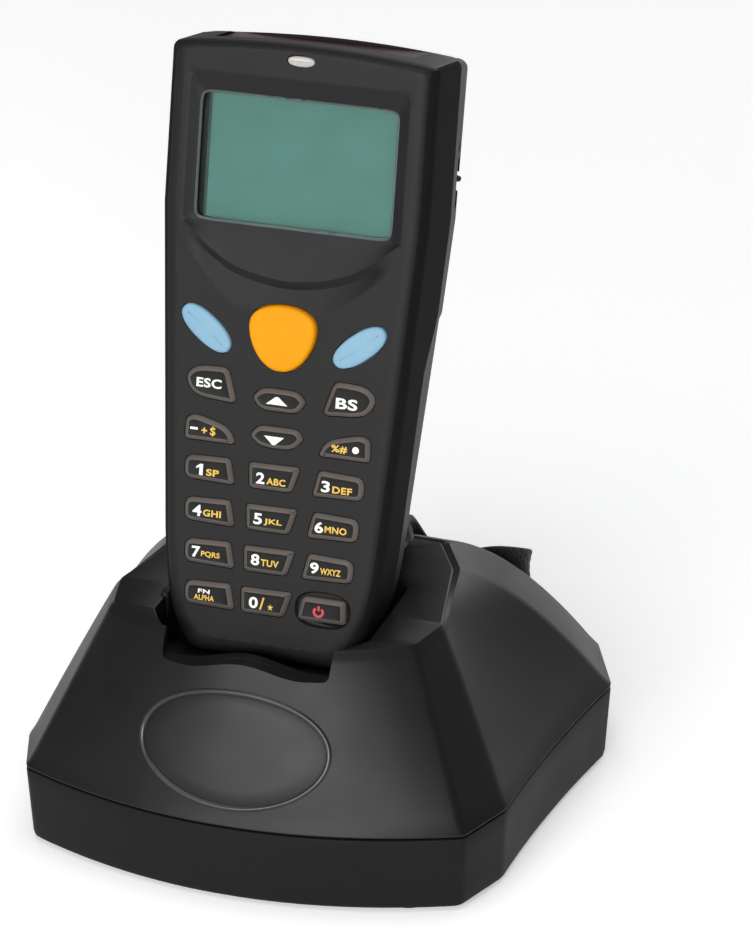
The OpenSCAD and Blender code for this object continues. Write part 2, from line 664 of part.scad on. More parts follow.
front_u = [0.12, 0.35, 0.58, 0.8, 1];
side_v = [0.25, 0.5, 0.75, 1];
rear_q = [0.5, 0.85];
deck_rear_arc = 0.5;
deck_corner_y = -17.5;
deck_back_y = 7.4;
foot_corner_y = -27.8;
foot_back_y = 30.1;
side_bow = 0.12; // how straight the foot's sides are: 1 is straight
function mix(a, b, t) = a + (b - a) * t;
half_deck = concat(
    [for (u = front_u) [deck_front_x * u, -deck_front + deck_arc * u * u]],
    [[deck_side_x, deck_corner_y]],
    [for (v = side_v) [mix(deck_side_x, deck_back_x, v), mix(deck_corner_y, deck_back_y, v)]],
    [[deck_rear_x, deck_rear]],
    [for (q = rear_q) [deck_rear_x * (1 - q), deck_rear + deck_rear_arc * q]]
);
half_foot = concat(
    [for (u = front_u) [foot_front_x * u, -foot_d + foot_arc * u * u]],
    [[foot_side_x, foot_corner_y]],
    [for (v = side_v) [
        mix(foot_side_x, foot_back_x, v * mix(v, 1, side_bow)),
        mix(foot_corner_y, foot_back_y, v)
    ]],
    [[foot_rear_x, foot_d - foot_rear_arc]],
    [for (q = rear_q) [foot_rear_x * (1 - q), foot_d - foot_rear_arc * pow(1 - q, 2)]]
);
// How domed the slope is along each of those lines: 1 is straight.
bulge = concat([for (u = front_u) u < 1 ? 1.08 : 1], [1.05], [for (v = side_v) 1.05 + 0.4 * v],
    [1.6], [for (q = rear_q) 1.6]);
function drawn_in(p, in) = [p.x * (1 - in / foot_back_x), p.y * (1 - in / foot_d)];
function slope_half(t, in) = [
    for (i = [0 : len(half_deck) - 1])
        let (d = drawn_in(mix(half_deck[i], half_foot[i], t), in))
        [d.x, d.y, mix(deck_z - in, seam_z - (in > 0 ? 0.5 : 0), pow(t, bulge[i]))]
];
function foot_half(z, in) = [for (p = half_foot) let (d = drawn_in(p, in)) [d.x, d.y, z]];
slope_t = [1, 0.85, 0.7, 0.55, 0.4, 0.25, 0.12, 0];
module cradle_solid(in) loft([for (t = slope_t) slope_half(t, in)]);

// The well: a prism along the terminal, round at the back, cut off at the front corners.
well_round = 10;
well_cut = [4, 6];
function well_half(out) = let (r = well_round + out) concat(
    [[well_x - well_cut.x + out, well_front + out], [well_x + out, well_front - well_cut.y + out]],
    [for (a = [0 : 15 : 90]) [well_x + out - r * (1 - cos(a)), -well_back - out + r * (1 - sin(a))]]
);
function well_outline(out) = let (half = well_half(out))
    concat([for (p = half) [-p.x, p.y]], [for (i = [len(half) - 1 : -1 : 0]) half[i]]);
well_floor = -end_drop - well_gap;
floor_t = 2;
module well(out, from) terminal_frame() translate([0, from, 0]) rotate([-90, 0, 0]) linear_extrude(60)
    mirror([0, 1]) polygon(well_outline(out));

notch_dip = 1.4; // how much lower the notch is beside its middle
notch_z = deck_z - notch_h;
notch_half = [
    [notch_x + 0.4, deck_z + 1], [notch_x - 0.8, notch_z + 0.5], [notch_x - 5, notch_z - notch_dip],
    [notch_x / 3, notch_z - 0.2], [0, notch_z]
];
module notch() translate([0, -deck_front + 6, 0]) rotate([90, 0, 0]) linear_extrude(20)
    polygon(concat(notch_half, [for (i = [3 : -1 : 0]) [-notch_half[i].x, notch_half[i].y]]));

post_at = [[38, -26], [42, 30]];
module at_posts() for (p = post_at, side = [-1, 1]) translate([side * p.x, p.y, 0]) children();
post_r = 3.6;
post_low = 6;
cradle_screw_r = 1.5;
module cradle_top() color("#2a2a2d") difference() {
    union() {
        difference() {
            cradle_solid(0);
            cradle_solid(shell_wall);
        }
        intersection() {
            cradle_solid(0);
            well(shell_wall, well_floor - floor_t);
        }
        intersection() {
            union() {
                cradle_solid(0.5);
                column(2 * foot_d, post_low, seam_z + 2);
            }
            at_posts() column(post_r, post_low, deck_z);
        }
    }
    well(0, well_floor);
    notch();
    at_posts() column(cradle_screw_r, post_low - 1, post_low + 9);
    terminal_frame() {
        window_block(ir_w, ir_h, ir_n, well_floor - 5, well_floor + 3, ir_gap);
        at_charge_pads(well_floor - 5) rotate([-90, 0, 0]) cylinder(r = spring_pin_r + 0.1, h = 8);
    }
}

base_low = pad_out;
base_top = seam_z - seam_gap;
jack_x = -20;
socket_x = 16;
jack_size = [9, 14, 11];
socket_size = [15, 16, 10.6];
back_y = foot_d - 0.6; // where the sockets' faces stand
cradle_board_size = [62, 59, 1.6];
cradle_board_rear = back_y - 5.4;
board_seat = 4;
socket_z = board_seat + cradle_board_size.z;
// A connector's block with its face at the back, grown by out.
module connector(x, size, out)
    translate([x - size.x / 2 - out, back_y - size.y - out, socket_z - out])
        cube([size.x + 2 * out, size.y + 2 * out, size.z + 2 * out]);
module at_board_posts()
    for (x = [-1, 1] * (cradle_board_size.x / 2 - 5), y = [16, 54]) translate([x, cradle_board_rear - y, 0])
        children();
cradle_screw_head = [2.8, 1.7];
module cradle_base() color("#29292c") difference() {
    union() {
        difference() {
            loft([
                foot_half(base_low, base_draft + 0.8),
                foot_half(base_low + 1.2, base_draft),
                foot_half(base_top, 0)
            ]);
            loft([
                foot_half(base_low + shell_wall, base_draft + shell_wall),
                foot_half(base_top + 1, shell_wall)
            ]);
        }
        // inner tongue behind the seam
        difference() {
            loft([
                foot_half(base_top - 3, shell_wall - 0.4),
                foot_half(base_top, shell_wall - 0.1),
                foot_half(base_top + 0.01, shell_wall + 0.3),
                foot_half(seam_z + 0.7, shell_wall + 0.9)
            ]);
            loft([foot_half(base_top - 4, shell_wall + 1.2), foot_half(seam_z + 1.7, shell_wall + 2.2)]);
        }
        at_board_posts() column(2.4, base_low, board_seat);
        at_posts() column(post_r, base_low, post_low);
    }
    at_posts() column(cradle_screw_r + 0.3, -1, post_low + 1);
    at_posts() column(cradle_screw_head[0] + 0.3, -1, cradle_screw_seat);
    at_pads() column(pad_r + 0.1, -1, pad_t);
    translate([0, 2, 0]) {
        connector(jack_x, jack_size, connector_gap);
        connector(socket_x, socket_size, connector_gap);
    }
}
cradle_screw_seat = base_low + 2.4;
connector_gap = 0.2;
pad_at = [[34, -38], [38, 41]];
module at_pads() for (p = pad_at, side = [-1, 1]) translate([side * p.x, p.y, 0]) children();
module rubber_feet() color("#1c1c1e") at_pads() column(pad_r, 0, pad_t);
module cradle_screws() color("#8a8a90") at_posts() {
    column(cradle_screw_head[0], cradle_screw_seat - cradle_screw_head[1], cradle_screw_seat);
    column(cradle_screw_r - 0.05, cradle_screw_seat, post_low + 8);
}
module cradle_board() color("#1f6b3a")
    translate([-cradle_board_size.x / 2, cradle_board_rear - cradle_board_size.y, board_seat])
        cube(cradle_board_size);
jack_bore_r = 3.2;
jack_pin_r = 0.65;
module power_jack() color("#1a1a1c") difference() {
    connector(jack_x, jack_size, 0);
    translate([jack_x, back_y - 10, socket_z + jack_size.z / 2]) rotate([-90, 0, 0]) difference() {
        cylinder(r = jack_bore_r, h = 12);
        translate([0, 0, -1]) cylinder(r = jack_pin_r, h = 10);
    }
}
// The socket's opening, wide above and narrow where the plug's latch goes.
module data_socket() color("#3a3a3e") difference() {
    connector(socket_x, socket_size, 0);
    translate([socket_x - 6, back_y - 12, socket_z + 2.4]) cube([12, 14, 7]);
    translate([socket_x - 3.2, back_y - 12, socket_z + 1]) cube([6.4, 14, 3]);
}
block_s = well_floor - floor_t;
block_size = [32, 7, 15];
spring_pin_r = 1;
ir_gap = 0.2;
module contact_block() color("#3c3c42") terminal_frame() difference() {
    translate([-block_size.x / 2, block_s - block_size.y, -20]) cube(block_size);
    window_block(ir_w, ir_h, ir_n, block_s - 5, block_s + 1, ir_gap);
    at_charge_pads(block_s - block_size.y - 1) rotate([-90, 0, 0]) cylinder(r = spring_pin_r, h = 9);
}
module spring_pins() color("#d6b45a") terminal_frame()
    at_charge_pads(block_s - block_size.y - 0.5) rotate([-90, 0, 0]) {
        cylinder(r = spring_pin_r, h = 8);
        cylinder(r = spring_pin_r - 0.3, h = block_size.y + 0.5 + floor_t);
    }
module cradle_ir_window() color([0.2, 0.05, 0.08, 0.8]) terminal_frame()
    window_block(ir_w, ir_h, ir_n, block_s - 5, well_floor - ir_gap, 0);
// Flat ribbon from the contact block down to the board, with its foot near the board's front edge.
ribbon_x = 5;
ribbon_top = [-6.5, 30];
ribbon_foot = [cradle_board_rear - cradle_board_size.y + 5.4, socket_z];
module cradle_ribbon() color("#b8a878") x_extrude(ribbon_x, [
    ribbon_top, ribbon_foot, ribbon_foot + [4.2, 0], ribbon_foot + [3.8, 2.4], ribbon_foot + [1.5, 3.4],
    ribbon_top + [0.4, 0]
]);

// ---------------------------------------------------------------- strap

// Tube of flat section along points. wide gives the direction of its width at each point.
module band(path, wide, w, t, sides) {
    n = len(path);
    function dir(i) = let (d = path[min(n - 1, i + 1)] - path[max(0, i - 1)]) d / norm(d);
    pts = [
        for (i = [0 : n - 1])
            let (d = dir(i), u0 = wide[i] - d * (wide[i] * d), u = u0 / norm(u0), v = cross(d, u))
            for (k = [0 : sides - 1])
                let (a = 360 * (k + 0.5) / sides)
                path[i] + u * (w / 2 * sign(cos(a)) * pow(abs(cos(a)), 0.5)) + v * (t / 2 * sin(a))
    ];
    walls = [
        for (i = [0 : n - 2], k = [0 : sides - 1])
            let (a = i * sides + k, b = i * sides + (k + 1) % sides)
            each [[a, b + sides, b], [a, a + sides, b + sides]]
    ];
    last = (n - 1) * sides;
    ends = [for (k = [1 : sides - 2]) each [[0, k, k + 1], [last, last + k + 1, last + k]]];
    polyhedron(points = pts, faces = concat(walls, ends));
}
// Smooth points through the hand-chosen ones.
function spline(p, i, t) =
    let (a = p[max(0, i - 1)], b = p[i], c = p[i + 1], d = p[min(len(p) - 1, i + 2)])
    0.5 * (2 * b + (c - a) * t + (2 * a - 5 * b + 4 * c - d) * t * t + (3 * b - a - 3 * c + d) * t * t * t);
function smooth_path(p, per) = concat([for (i = [0 : len(p) - 2], k = [0 : per - 1]) spline(p, i, k / per)],
    [p[len(p) - 1]]);

strap_route = [
    [16.4, 17.2, 106], [16.4, 14.2, 98], [16.4, 9.6, 86], [16.4, 6, 74], [16.4, 3.8, 65], [16.2, 3.4, 58.8],
    [15.4, 7, 54.8], [13.6, 13.2, 53], [11.6, 19.6, 52.4], [10.2, 25.8, 50.4], [9.6, 31.8, 46.8],
    [11.6, 37.4, 39.4], [14.8, 42.2, 34.6], [20, 44.4, 33], [25.6, 43.4, 35.3], [29.8, 42.2, 36.6],
    [32.6, 42.4, 36.6], [33.4, 44.4, 35], [32, 46.6, 33], [28.6, 47.4, 31.2], [23, 48, 29.8], [15, 48.4, 29.8],
    [8, 46, 32.6], [4, 41, 38.6], [3.6, 34, 46], [6, 27.4, 51.8], [10, 21, 54.4], [13.8, 14.6, 54.9],
    [16.2, 8.8, 56.2], [16.4, 6.4, 61], [16.4, 6.6, 67], [16.4, 8.6, 75], [16.4, 12.2, 86.6],
    [16.4, 16.6, 98.6], [16.4, 19.4, 106]
];
strap_wide = [
    [1, 0, 0], [1, 0, 0], [1, 0, 0], [1, -0.2, 0], [1, -0.3, 0], [1, -0.2, 0],
    [1, 0, 0.1], [1, 0.1, 0.1], [1, 0.2, 0.1], [0.9, 0.2, 0.3], [0.8, 0.1, 0.5],
    [0.95, 0.1, 0.25], [0.75, 0, 0.5], [0.2, 0, 0.95], [0, 0, 1], [0, 0, 1],
    [0, 0, 1], [0, 0, 1], [0, 0, 1], [0, 0, 1], [0, 0, 1], [0, 0, 1],
    [0.2, 0, 0.95], [0.5, 0, 0.8], [0.8, 0, 0.6], [1, 0.1, 0.3], [1, 0.1, 0.1], [1, 0, 0.1],
    [1, -0.1, 0], [1, -0.3, 0], [1, -0.3, 0], [1, -0.2, 0], [1, 0, 0],
    [1, 0, 0], [1, 0, 0]
];
module wrist_strap() color("#1e1e20")
    band(smooth_path(strap_route, 2), smooth_path(strap_wide, 2), strap_w, strap_t, 8);
ferrule_size = [9, 7, 4.4];
ferrule_at = [16.4, 73, -30.4];
module strap_ferrule() color("#17171a") terminal_frame()
    translate(ferrule_at) cube(ferrule_size, center = true);
// From the ferrule round the strap bar and back, in the terminal's own directions.
loop_route = [
    [17.4, 76, -30.6], [18.8, 82, -30.4], [21.6, 88.4, -29.7], [23.4, 92.8, -28.9], [24.6, 95, -27.4],
    [26, 95.4, -25.6], [24.6, 95.6, -23.5], [22.3, 95.6, -24.7], [21.9, 95, -26.9], [20.6, 92.6, -28.9],
    [17.8, 88, -29.9], [16, 82, -30.6], [15.4, 76, -30.6]
];
loop_line = smooth_path(loop_route, 3);
module strap_loop() color("#17171a") terminal_frame()
    band(loop_line, [for (p = loop_line) [0.3, 0.9, 0.3]], loop_d, loop_d, 8);

// ---------------------------------------------------------------- drawing

cradle_top();
cradle_base();
cradle_board();
contact_block();
spring_pins();
cradle_ir_window();
cradle_ribbon();
power_jack();
data_socket();
rubber_feet();
cradle_screws();
front_case();
rear_case();
display_window();
display_panel();
display_frame();
status_light_lens();
scan_window();
scan_engine();
main_board();
board_components();
key_domes();
keypad_mat();
buzzer();
backup_cell();
battery_cells();
cell_contacts();
battery_door();
door_hinge_pin();
case_screws();
charge_pads();
terminal_ir_window();
strap_bar();
strap_loop();
strap_ferrule();
wrist_strap();
key_scan();
key_left();
key_right();
key_esc();
key_backspace();
key_up();
key_down();
key_minus();
key_percent();
key_1();
key_2();
key_3();
key_4();
key_5();
key_6();
key_7();
key_8();
key_9();
key_fn();
key_0();
key_power();
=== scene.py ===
import bmesh
import bpy
import json
import math
import numpy as np
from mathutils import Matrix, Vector
from mathutils.geometry import delaunay_2d_cdt


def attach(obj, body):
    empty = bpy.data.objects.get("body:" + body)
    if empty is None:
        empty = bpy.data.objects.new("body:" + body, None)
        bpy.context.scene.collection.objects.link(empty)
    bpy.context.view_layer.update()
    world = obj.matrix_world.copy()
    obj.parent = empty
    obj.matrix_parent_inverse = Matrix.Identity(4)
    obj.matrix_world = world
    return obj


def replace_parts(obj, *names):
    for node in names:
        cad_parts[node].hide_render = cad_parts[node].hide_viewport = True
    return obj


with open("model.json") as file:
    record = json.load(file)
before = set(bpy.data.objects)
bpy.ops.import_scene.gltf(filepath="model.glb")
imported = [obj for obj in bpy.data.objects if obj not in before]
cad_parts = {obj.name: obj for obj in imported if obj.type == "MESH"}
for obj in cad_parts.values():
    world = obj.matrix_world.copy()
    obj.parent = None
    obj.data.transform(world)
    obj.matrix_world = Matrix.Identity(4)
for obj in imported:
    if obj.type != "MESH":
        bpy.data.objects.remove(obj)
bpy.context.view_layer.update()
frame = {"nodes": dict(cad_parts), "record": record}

nodes = frame["nodes"]
bodies = frame["record"]["behaviour"]["bodies"]
mm = 0.001
print("frame loaded:", len(nodes), "nodes")

# camera, floor and lamps

cameraValues = {
    "place": (0.299794, -0.845316, 0.489827),
    "turn": (65.01, 0.222, 18.524),
    "lens": 186.0,
    "near": 0.05,
}
studio = {
    "floorHalf": 6.0,
    "floorTone": (0.9, 0.9, 0.9),
    "floorLift": 0.34,      # what the camera sees on top of the lit floor, so that it is white
    "worldTone": (0.93, 0.96, 1.0),
    "worldLevel": 0.12,
    "lamps": [
        # name, place, aimed at, width, height, watts
        ("frontLamp", (0.05, -2.86, 1.02), (0, 0, 0.1), 3.0, 0.8, 92.0),
        ("windowLamp", (-0.55, -0.55, 0.75), (0, -0.02, 0.06), 0.6, 0.6, 0.4),
        ("backLamp", (0.35, 2.2, 0.9), (0, 0, 0.07), 1.7, 0.8, 14.0),
        ("topLamp", (0.0, -0.1, 1.1), (0, 0, 0.05), 0.8, 0.8, 4.6),
    ],
}


def addObject(name, data):
    thing = bpy.data.objects.new(name, data)
    bpy.context.scene.collection.objects.link(thing)
    return thing


def makeCamera(values):
    data = bpy.data.cameras.new("productCamera")
    data.lens, data.clip_start = values["lens"], values["near"]
    camera = addObject("productCamera", data)
    camera.location = values["place"]
    camera.rotation_euler = [math.radians(a) for a in values["turn"]]
    bpy.context.scene.camera = camera


def makeLamp(name, place, aim, width, height, watts):
    data = bpy.data.lights.new(name, "AREA")
    data.shape = "RECTANGLE"
    data.size, data.size_y, data.energy = width, height, watts
    lamp = addObject(name, data)
    lamp.location = place
    lamp.rotation_euler = (Vector(aim) - Vector(place)).to_track_quat("-Z", "Y").to_euler()


def put(tree, kind, **values):
    node = tree.nodes.new(kind)
    for key, value in values.items():
        setattr(node, key, value)
    return node


def reckon(tree, operation, *parts):
    # a maths node fed by sockets or by plain numbers
    node = put(tree, "ShaderNodeMath", operation=operation)
    for part, socket in zip(parts, node.inputs):
        if isinstance(part, float):
            socket.default_value = part
        else:
            tree.links.new(part, socket)
    return node.outputs[0]


def whiteSeen(tree):
    # 1 where the camera, a reflection or glass looks at it, and 0 for the light that falls on things
    path = put(tree, "ShaderNodeLightPath").outputs
    seen = reckon(tree, "MAXIMUM", path["Is Camera Ray"], path["Is Glossy Ray"])
    return reckon(tree, "MAXIMUM", seen, path["Is Transmission Ray"])


def makeFloor(values):
    data = bpy.data.meshes.new("floor")
    r = values["floorHalf"]
    data.from_pydata([(-r, -r, 0), (r, -r, 0), (r, r, 0), (-r, r, 0)], [], [(0, 1, 2, 3)])
    floor = addObject("floor", data)
    material = bpy.data.materials.new("paleFloor")
    material.use_nodes = True
    tree = material.node_tree
    tree.nodes.clear()
    matt = put(tree, "ShaderNodeBsdfDiffuse")
    matt.inputs["Color"].default_value = (*values["floorTone"], 1)
    glow = put(tree, "ShaderNodeEmission")
    both = put(tree, "ShaderNodeAddShader")
    out = put(tree, "ShaderNodeOutputMaterial")
    lift = reckon(tree, "MULTIPLY", whiteSeen(tree), values["floorLift"])
    tree.links.new(lift, glow.inputs["Strength"])
    tree.links.new(matt.outputs[0], both.inputs[0])
    tree.links.new(glow.outputs[0], both.inputs[1])
    tree.links.new(both.outputs[0], out.inputs["Surface"])
    data.materials.append(material)


def makeWorld(values):
    world = bpy.data.worlds.new("softRoom")
    bpy.context.scene.world = world
    world.use_nodes = True
    back = world.node_tree.nodes["Background"]
    back.inputs["Color"].default_value = (*values["worldTone"], 1)
    back.inputs["Strength"].default_value = values["worldLevel"]


makeCamera(cameraValues)
makeFloor(studio)
makeWorld(studio)
for lamp in studio["lamps"]:
    makeLamp(*lamp)
bpy.context.scene.view_settings.view_transform = "Standard"
print("camera, floor and lamps placed")

# shader groups that several finishes share


def newGroup(name, inputs):
    # a group with numbers in, and a height and a mask of tone out
    group = bpy.data.node_groups.new(name, "ShaderNodeTree")
    for label, value in inputs:
        socket = group.interface.new_socket(label, in_out="INPUT", socket_type="NodeSocketFloat")
        socket.default_value = value
    for label in ("Height", "Tone"):
        group.interface.new_socket(label, in_out="OUTPUT", socket_type="NodeSocketFloat")
    return group, put(group, "NodeGroupInput"), put(group, "NodeGroupOutput")


def ranged(tree, source, low, high, start=0.3, end=0.7):
    # maps a mask to a range of values
    node = put(tree, "ShaderNodeMapRange")
    for label, value in (("From Min", start), ("From Max", end), ("To Min", low), ("To Max", high)):
        node.inputs[label].default_value = value
    tree.links.new(source, node.inputs["Value"])
    return node.outputs["Result"]


def mouldedGrain():
    # the fine sand-blasted texture of moulded plastic, with a slow unevenness of tone
    group, given, made = newGroup("mouldedGrain", [("Grain size", 0.4), ("Cloud size", 14.0)])
    place = put(group, "ShaderNodeTexCoord").outputs["Object"]
    for label, detail, output in (("Grain size", 3.0, "Height"), ("Cloud size", 4.0, "Tone")):
        noise = put(group, "ShaderNodeTexNoise")
        noise.inputs["Detail"].default_value = detail
        group.links.new(reckon(group, "DIVIDE", 1 / mm, given.outputs[label]), noise.inputs["Scale"])
        group.links.new(place, noise.inputs["Vector"])
        group.links.new(noise.outputs["Fac"], made.inputs[output])
    return group


def wovenThreads(slant=0.6):
    # rows of plaited threads along a band: the band's own uv gives millimetres along and across
    group, given, made = newGroup("wovenThreads", [("Thread", 0.9)])
    apart = put(group, "ShaderNodeSeparateXYZ")
    group.links.new(put(group, "ShaderNodeUVMap", uv_map="weave").outputs["UV"], apart.inputs[0])
    waves = []
    for across in (slant, -slant):
        steps = [reckon(group, "MULTIPLY", apart.outputs[axis], factor * 2 * math.pi)
                 for axis, factor in (("X", 1.0), ("Y", across))]
        per = reckon(group, "DIVIDE", reckon(group, "ADD", *steps), given.outputs["Thread"])
        waves.append(reckon(group, "SINE", per))
    level = ranged(group, reckon(group, "MAXIMUM", *waves), 0, 1, -1, 1)
    for output in ("Height", "Tone"):
        group.links.new(level, made.inputs[output])
    return group


grainGroup, threadGroup = mouldedGrain(), wovenThreads()


def shader(name):
    material = bpy.data.materials.new(name)
    material.use_nodes = True
    return material, material.node_tree, material.node_tree.nodes["Principled BSDF"]


def setInputs(node, values):
    for label, value in values.items():
        node.inputs[label.replace("_", " ")].default_value = value


def mixTones(tree, factor, first, second):
    node = put(tree, "ShaderNodeMix", data_type="RGBA")
    node.inputs[6].default_value = (*first, 1)
    node.inputs[7].default_value = (*second, 1)
    tree.links.new(factor, node.inputs[0])
    return node.outputs[2]


def addRelief(tree, skin, height, strength, deep):
    relief = put(tree, "ShaderNodeBump")
    setInputs(relief, {"Strength": strength, "Distance": deep * mm})
    tree.links.new(height, relief.inputs["Height"])
    tree.links.new(relief.outputs["Normal"], skin.inputs["Normal"])


def plastic(name, tone, toneFar, rough, grain=0.4, cloud=14.0, bump=0.12, gloss=0.5, **more):
    material, tree, skin = shader(name)
    texture = put(tree, "ShaderNodeGroup", node_tree=grainGroup)
    setInputs(texture, {"Grain size": grain, "Cloud size": cloud})
    mask = texture.outputs["Tone"]
    tree.links.new(mixTones(tree, ranged(tree, mask, 0, 1), tone, toneFar), skin.inputs["Base Color"])
    tree.links.new(ranged(tree, mask, *rough), skin.inputs["Roughness"])
    setInputs(skin, {"Specular IOR Level": gloss, **more})
    addRelief(tree, skin, texture.outputs["Height"], bump, 0.05)
    return material


def metal(name, tone, rough):
    return plastic(name, tone, [0.9 * c for c in tone], rough, grain=0.15, bump=0.05, Metallic=1.0)


def clearPlastic(name, tone, rough):
    return plastic(name, tone, [0.95 * c for c in tone], rough, grain=0.2, bump=0.01,
                   Transmission_Weight=1.0, IOR=1.5)


def webbing(name, tone, toneHigh):
    material, tree, skin = shader(name)
    threads = put(tree, "ShaderNodeGroup", node_tree=threadGroup)
    setInputs(threads, {"Thread": 0.9})
    mask = threads.outputs["Tone"]
    tree.links.new(mixTones(tree, mask, tone, toneHigh), skin.inputs["Base Color"])
    tree.links.new(ranged(tree, mask, 0.95, 0.75, 0, 1), skin.inputs["Roughness"])
    setInputs(skin, {"Sheen Weight": 0.25, "Sheen Roughness": 0.5})
    addRelief(tree, skin, threads.outputs["Height"], 0.8, 0.18)
    return material


# tone, tone of the patches, roughness; then, where they differ, grain and patch size in millimetres,
# relief and gloss
finishes = {
    "cradle": plastic("cradlePlastic", (0.006, 0.0058, 0.006), (0.0074, 0.0072, 0.0074), (0.4, 0.46),
        gloss=0.25),
    "cradleFoot": plastic("cradleFoot", (0.007, 0.0068, 0.007), (0.0085, 0.0082, 0.0085), (0.52, 0.58),
        gloss=0.14),
    "badge": plastic("badgePlate", (0.007, 0.0068, 0.007), (0.0085, 0.0082, 0.0085), (0.4, 0.46), 0.3, 10,
        gloss=0.3),
    "badgeRim": plastic("badgeRim", (0.02, 0.0196, 0.02), (0.024, 0.0235, 0.024), (0.28, 0.34), 0.3, 6, 0.05,
        0.5),
    "case": plastic("casePlastic", (0.0085, 0.0083, 0.0087), (0.0105, 0.0102, 0.0108), (0.48, 0.54),
        gloss=0.2),
    "caseSide": plastic("caseSide", (0.0085, 0.0083, 0.0083), (0.0105, 0.0102, 0.0102), (0.75, 0.8),
        gloss=0.06),
    "orange": plastic("orangeKey", (0.74, 0.28, 0.002), (0.8, 0.315, 0.003), (0.5, 0.58), bump=0.05,
        gloss=0.12),
    "blue": plastic("blueKey", (0.2, 0.365, 0.49), (0.225, 0.4, 0.53), (0.46, 0.54), bump=0.05, gloss=0.2),
    "keyRim": plastic("keyRim", (0.1, 0.085, 0.075), (0.12, 0.102, 0.09), (0.5, 0.6), 0.3, 6, 0.08, 0.35),
    "keyTop": plastic("keyTop", (0.0105, 0.0102, 0.01), (0.013, 0.0126, 0.0122), (0.5, 0.58), 0.3, 6, 0.08,
        0.16),
    "inkWhite": plastic("whiteInk", (0.78, 0.78, 0.76), (0.86, 0.86, 0.84), (0.5, 0.6), 0.2, 4, 0.03),
    "inkAmber": plastic("amberInk", (0.68, 0.42, 0.05), (0.76, 0.48, 0.07), (0.5, 0.6), 0.2, 4, 0.03),
    "inkRed": plastic("redInk", (0.5, 0.035, 0.05), (0.58, 0.045, 0.06), (0.5, 0.6), 0.2, 4, 0.03),
    "display": plastic("displayGlass", (0.098, 0.26, 0.222), (0.11, 0.282, 0.243), (0.35, 0.42), 0.3, 9,
        0.01, 0.3),
    # painted shade: a darker copy of the display's green, for the soft edge of the bezel's shadow on the
    # display
    "displayShade": plastic("displayShade", (0.035, 0.09, 0.077), (0.04, 0.1, 0.086), (0.4, 0.5), bump=0.01,
        gloss=0.3),
    "windowEdge": plastic("windowEdge", (0.07, 0.09, 0.087), (0.09, 0.115, 0.11), (0.25, 0.35), 0.3, 5, 0.02),
    "window": clearPlastic("clearWindow", (0.95, 0.98, 0.97), (0.02, 0.04)),
    "white": plastic("whitePlastic", (0.6, 0.6, 0.57), (0.65, 0.65, 0.62), (0.4, 0.5), bump=0.05),
    "lens": plastic("lightLens", (0.4, 0.38, 0.36), (0.5, 0.48, 0.46), (0.25, 0.35), bump=0.05),
    "red": plastic("redFilter", (0.03, 0.003, 0.003), (0.04, 0.004, 0.004), (0.3, 0.36), bump=0.01,
        gloss=0.15),
    "board": plastic("circuitBoard", (0.01, 0.09, 0.03), (0.015, 0.12, 0.045), (0.4, 0.5), cloud=3.0),
    # black parts; the same finish also paints shade, in the strap slot and on the sheet round the display
    "black": plastic("blackPart", (0.006, 0.006, 0.0065), (0.009, 0.009, 0.0095), (0.5, 0.6), gloss=0.25),
    "steel": metal("steel", (0.6, 0.6, 0.62), (0.25, 0.35)),
    "cell": plastic("cellWrap", (0.5, 0.3, 0.05), (0.55, 0.34, 0.07), (0.3, 0.4), bump=0.05),
    "gold": metal("gold", (0.85, 0.6, 0.25), (0.2, 0.3)),
    "mat": plastic("keyMat", (0.03, 0.029, 0.028), (0.04, 0.038, 0.036), (0.6, 0.7)),
    "ribbon": plastic("ribbonFilm", (0.5, 0.4, 0.2), (0.55, 0.44, 0.23), (0.3, 0.4), bump=0.02),
    "cordBlack": plastic("cordBlack", (0.009, 0.0088, 0.0085), (0.016, 0.0155, 0.015), (0.7, 0.85), 0.25,
        1.2, 0.5, 0.3),
    "strap": webbing("strapWeave", (0.004, 0.0038, 0.0036), (0.02, 0.0185, 0.017)),
}
nodeFinishes = {
    "cradle": ["cradle_top", "cradle_base"],
    "case": ["front_case", "rear_case", "battery_door"],
    "orange": ["key_scan"],
    "blue": ["key_left", "key_right"],
    "display": ["display_panel"],
    "window": ["display_window"],
    "white": ["display_frame"],
    "lens": ["status_light_lens"],
    "red": ["scan_window", "cradle_ir_window", "terminal_ir_window"],
    "board": ["cradle_board", "main_board"],
    "black": ["contact_block", "power_jack", "data_socket", "rubber_feet", "board_components", "buzzer"],
    "steel": ["cradle_screws", "case_screws", "scan_engine", "backup_cell", "cell_contacts", "door_hinge_pin",
              "strap_bar"],
    "gold": ["spring_pins", "charge_pads", "key_domes"],
    "cell": ["battery_cells"],
    "mat": ["keypad_mat"],
    "ribbon": ["cradle_ribbon"],
    "strap": ["wrist_strap", "strap_loop", "strap_ferrule"],
}
finishOf = {name: finish for finish, names in nodeFinishes.items() for name in names}
for name, piece in nodes.items():
    for place in piece.material_slots:
        place.material = finishes[finishOf.get(name, "keyRim")]
print("finishes made:", len(finishes))

# mesh tools that the pieces share; lengths are in millimetres until makePiece() is reached


def makePiece(name, points, faces, finishNames, body, sharpFrom=30, faceFinish=None):
    data = bpy.data.meshes.new(name)
    data.from_pydata([[c * mm for c in p] for p in points], [], faces)
    for finish in finishNames:
        data.materials.append(finishes[finish])
    if faceFinish is not None:
        data.polygons.foreach_set("material_index", faceFinish)
    piece = addObject(name, data)
    tidyMesh(data, sharpFrom)
    if body:
        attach(piece, body)
    return piece


def tidyMesh(data, sharpFrom):
    work = bmesh.new()
    work.from_mesh(data)
    bmesh.ops.remove_doubles(work, verts=work.verts, dist=0.002 * mm)
    bmesh.ops.recalc_face_normals(work, faces=work.faces)
    work.to_mesh(data)
    work.free()
    data.shade_smooth()
    data.set_sharp_from_angle(angle=math.radians(sharpFrom))


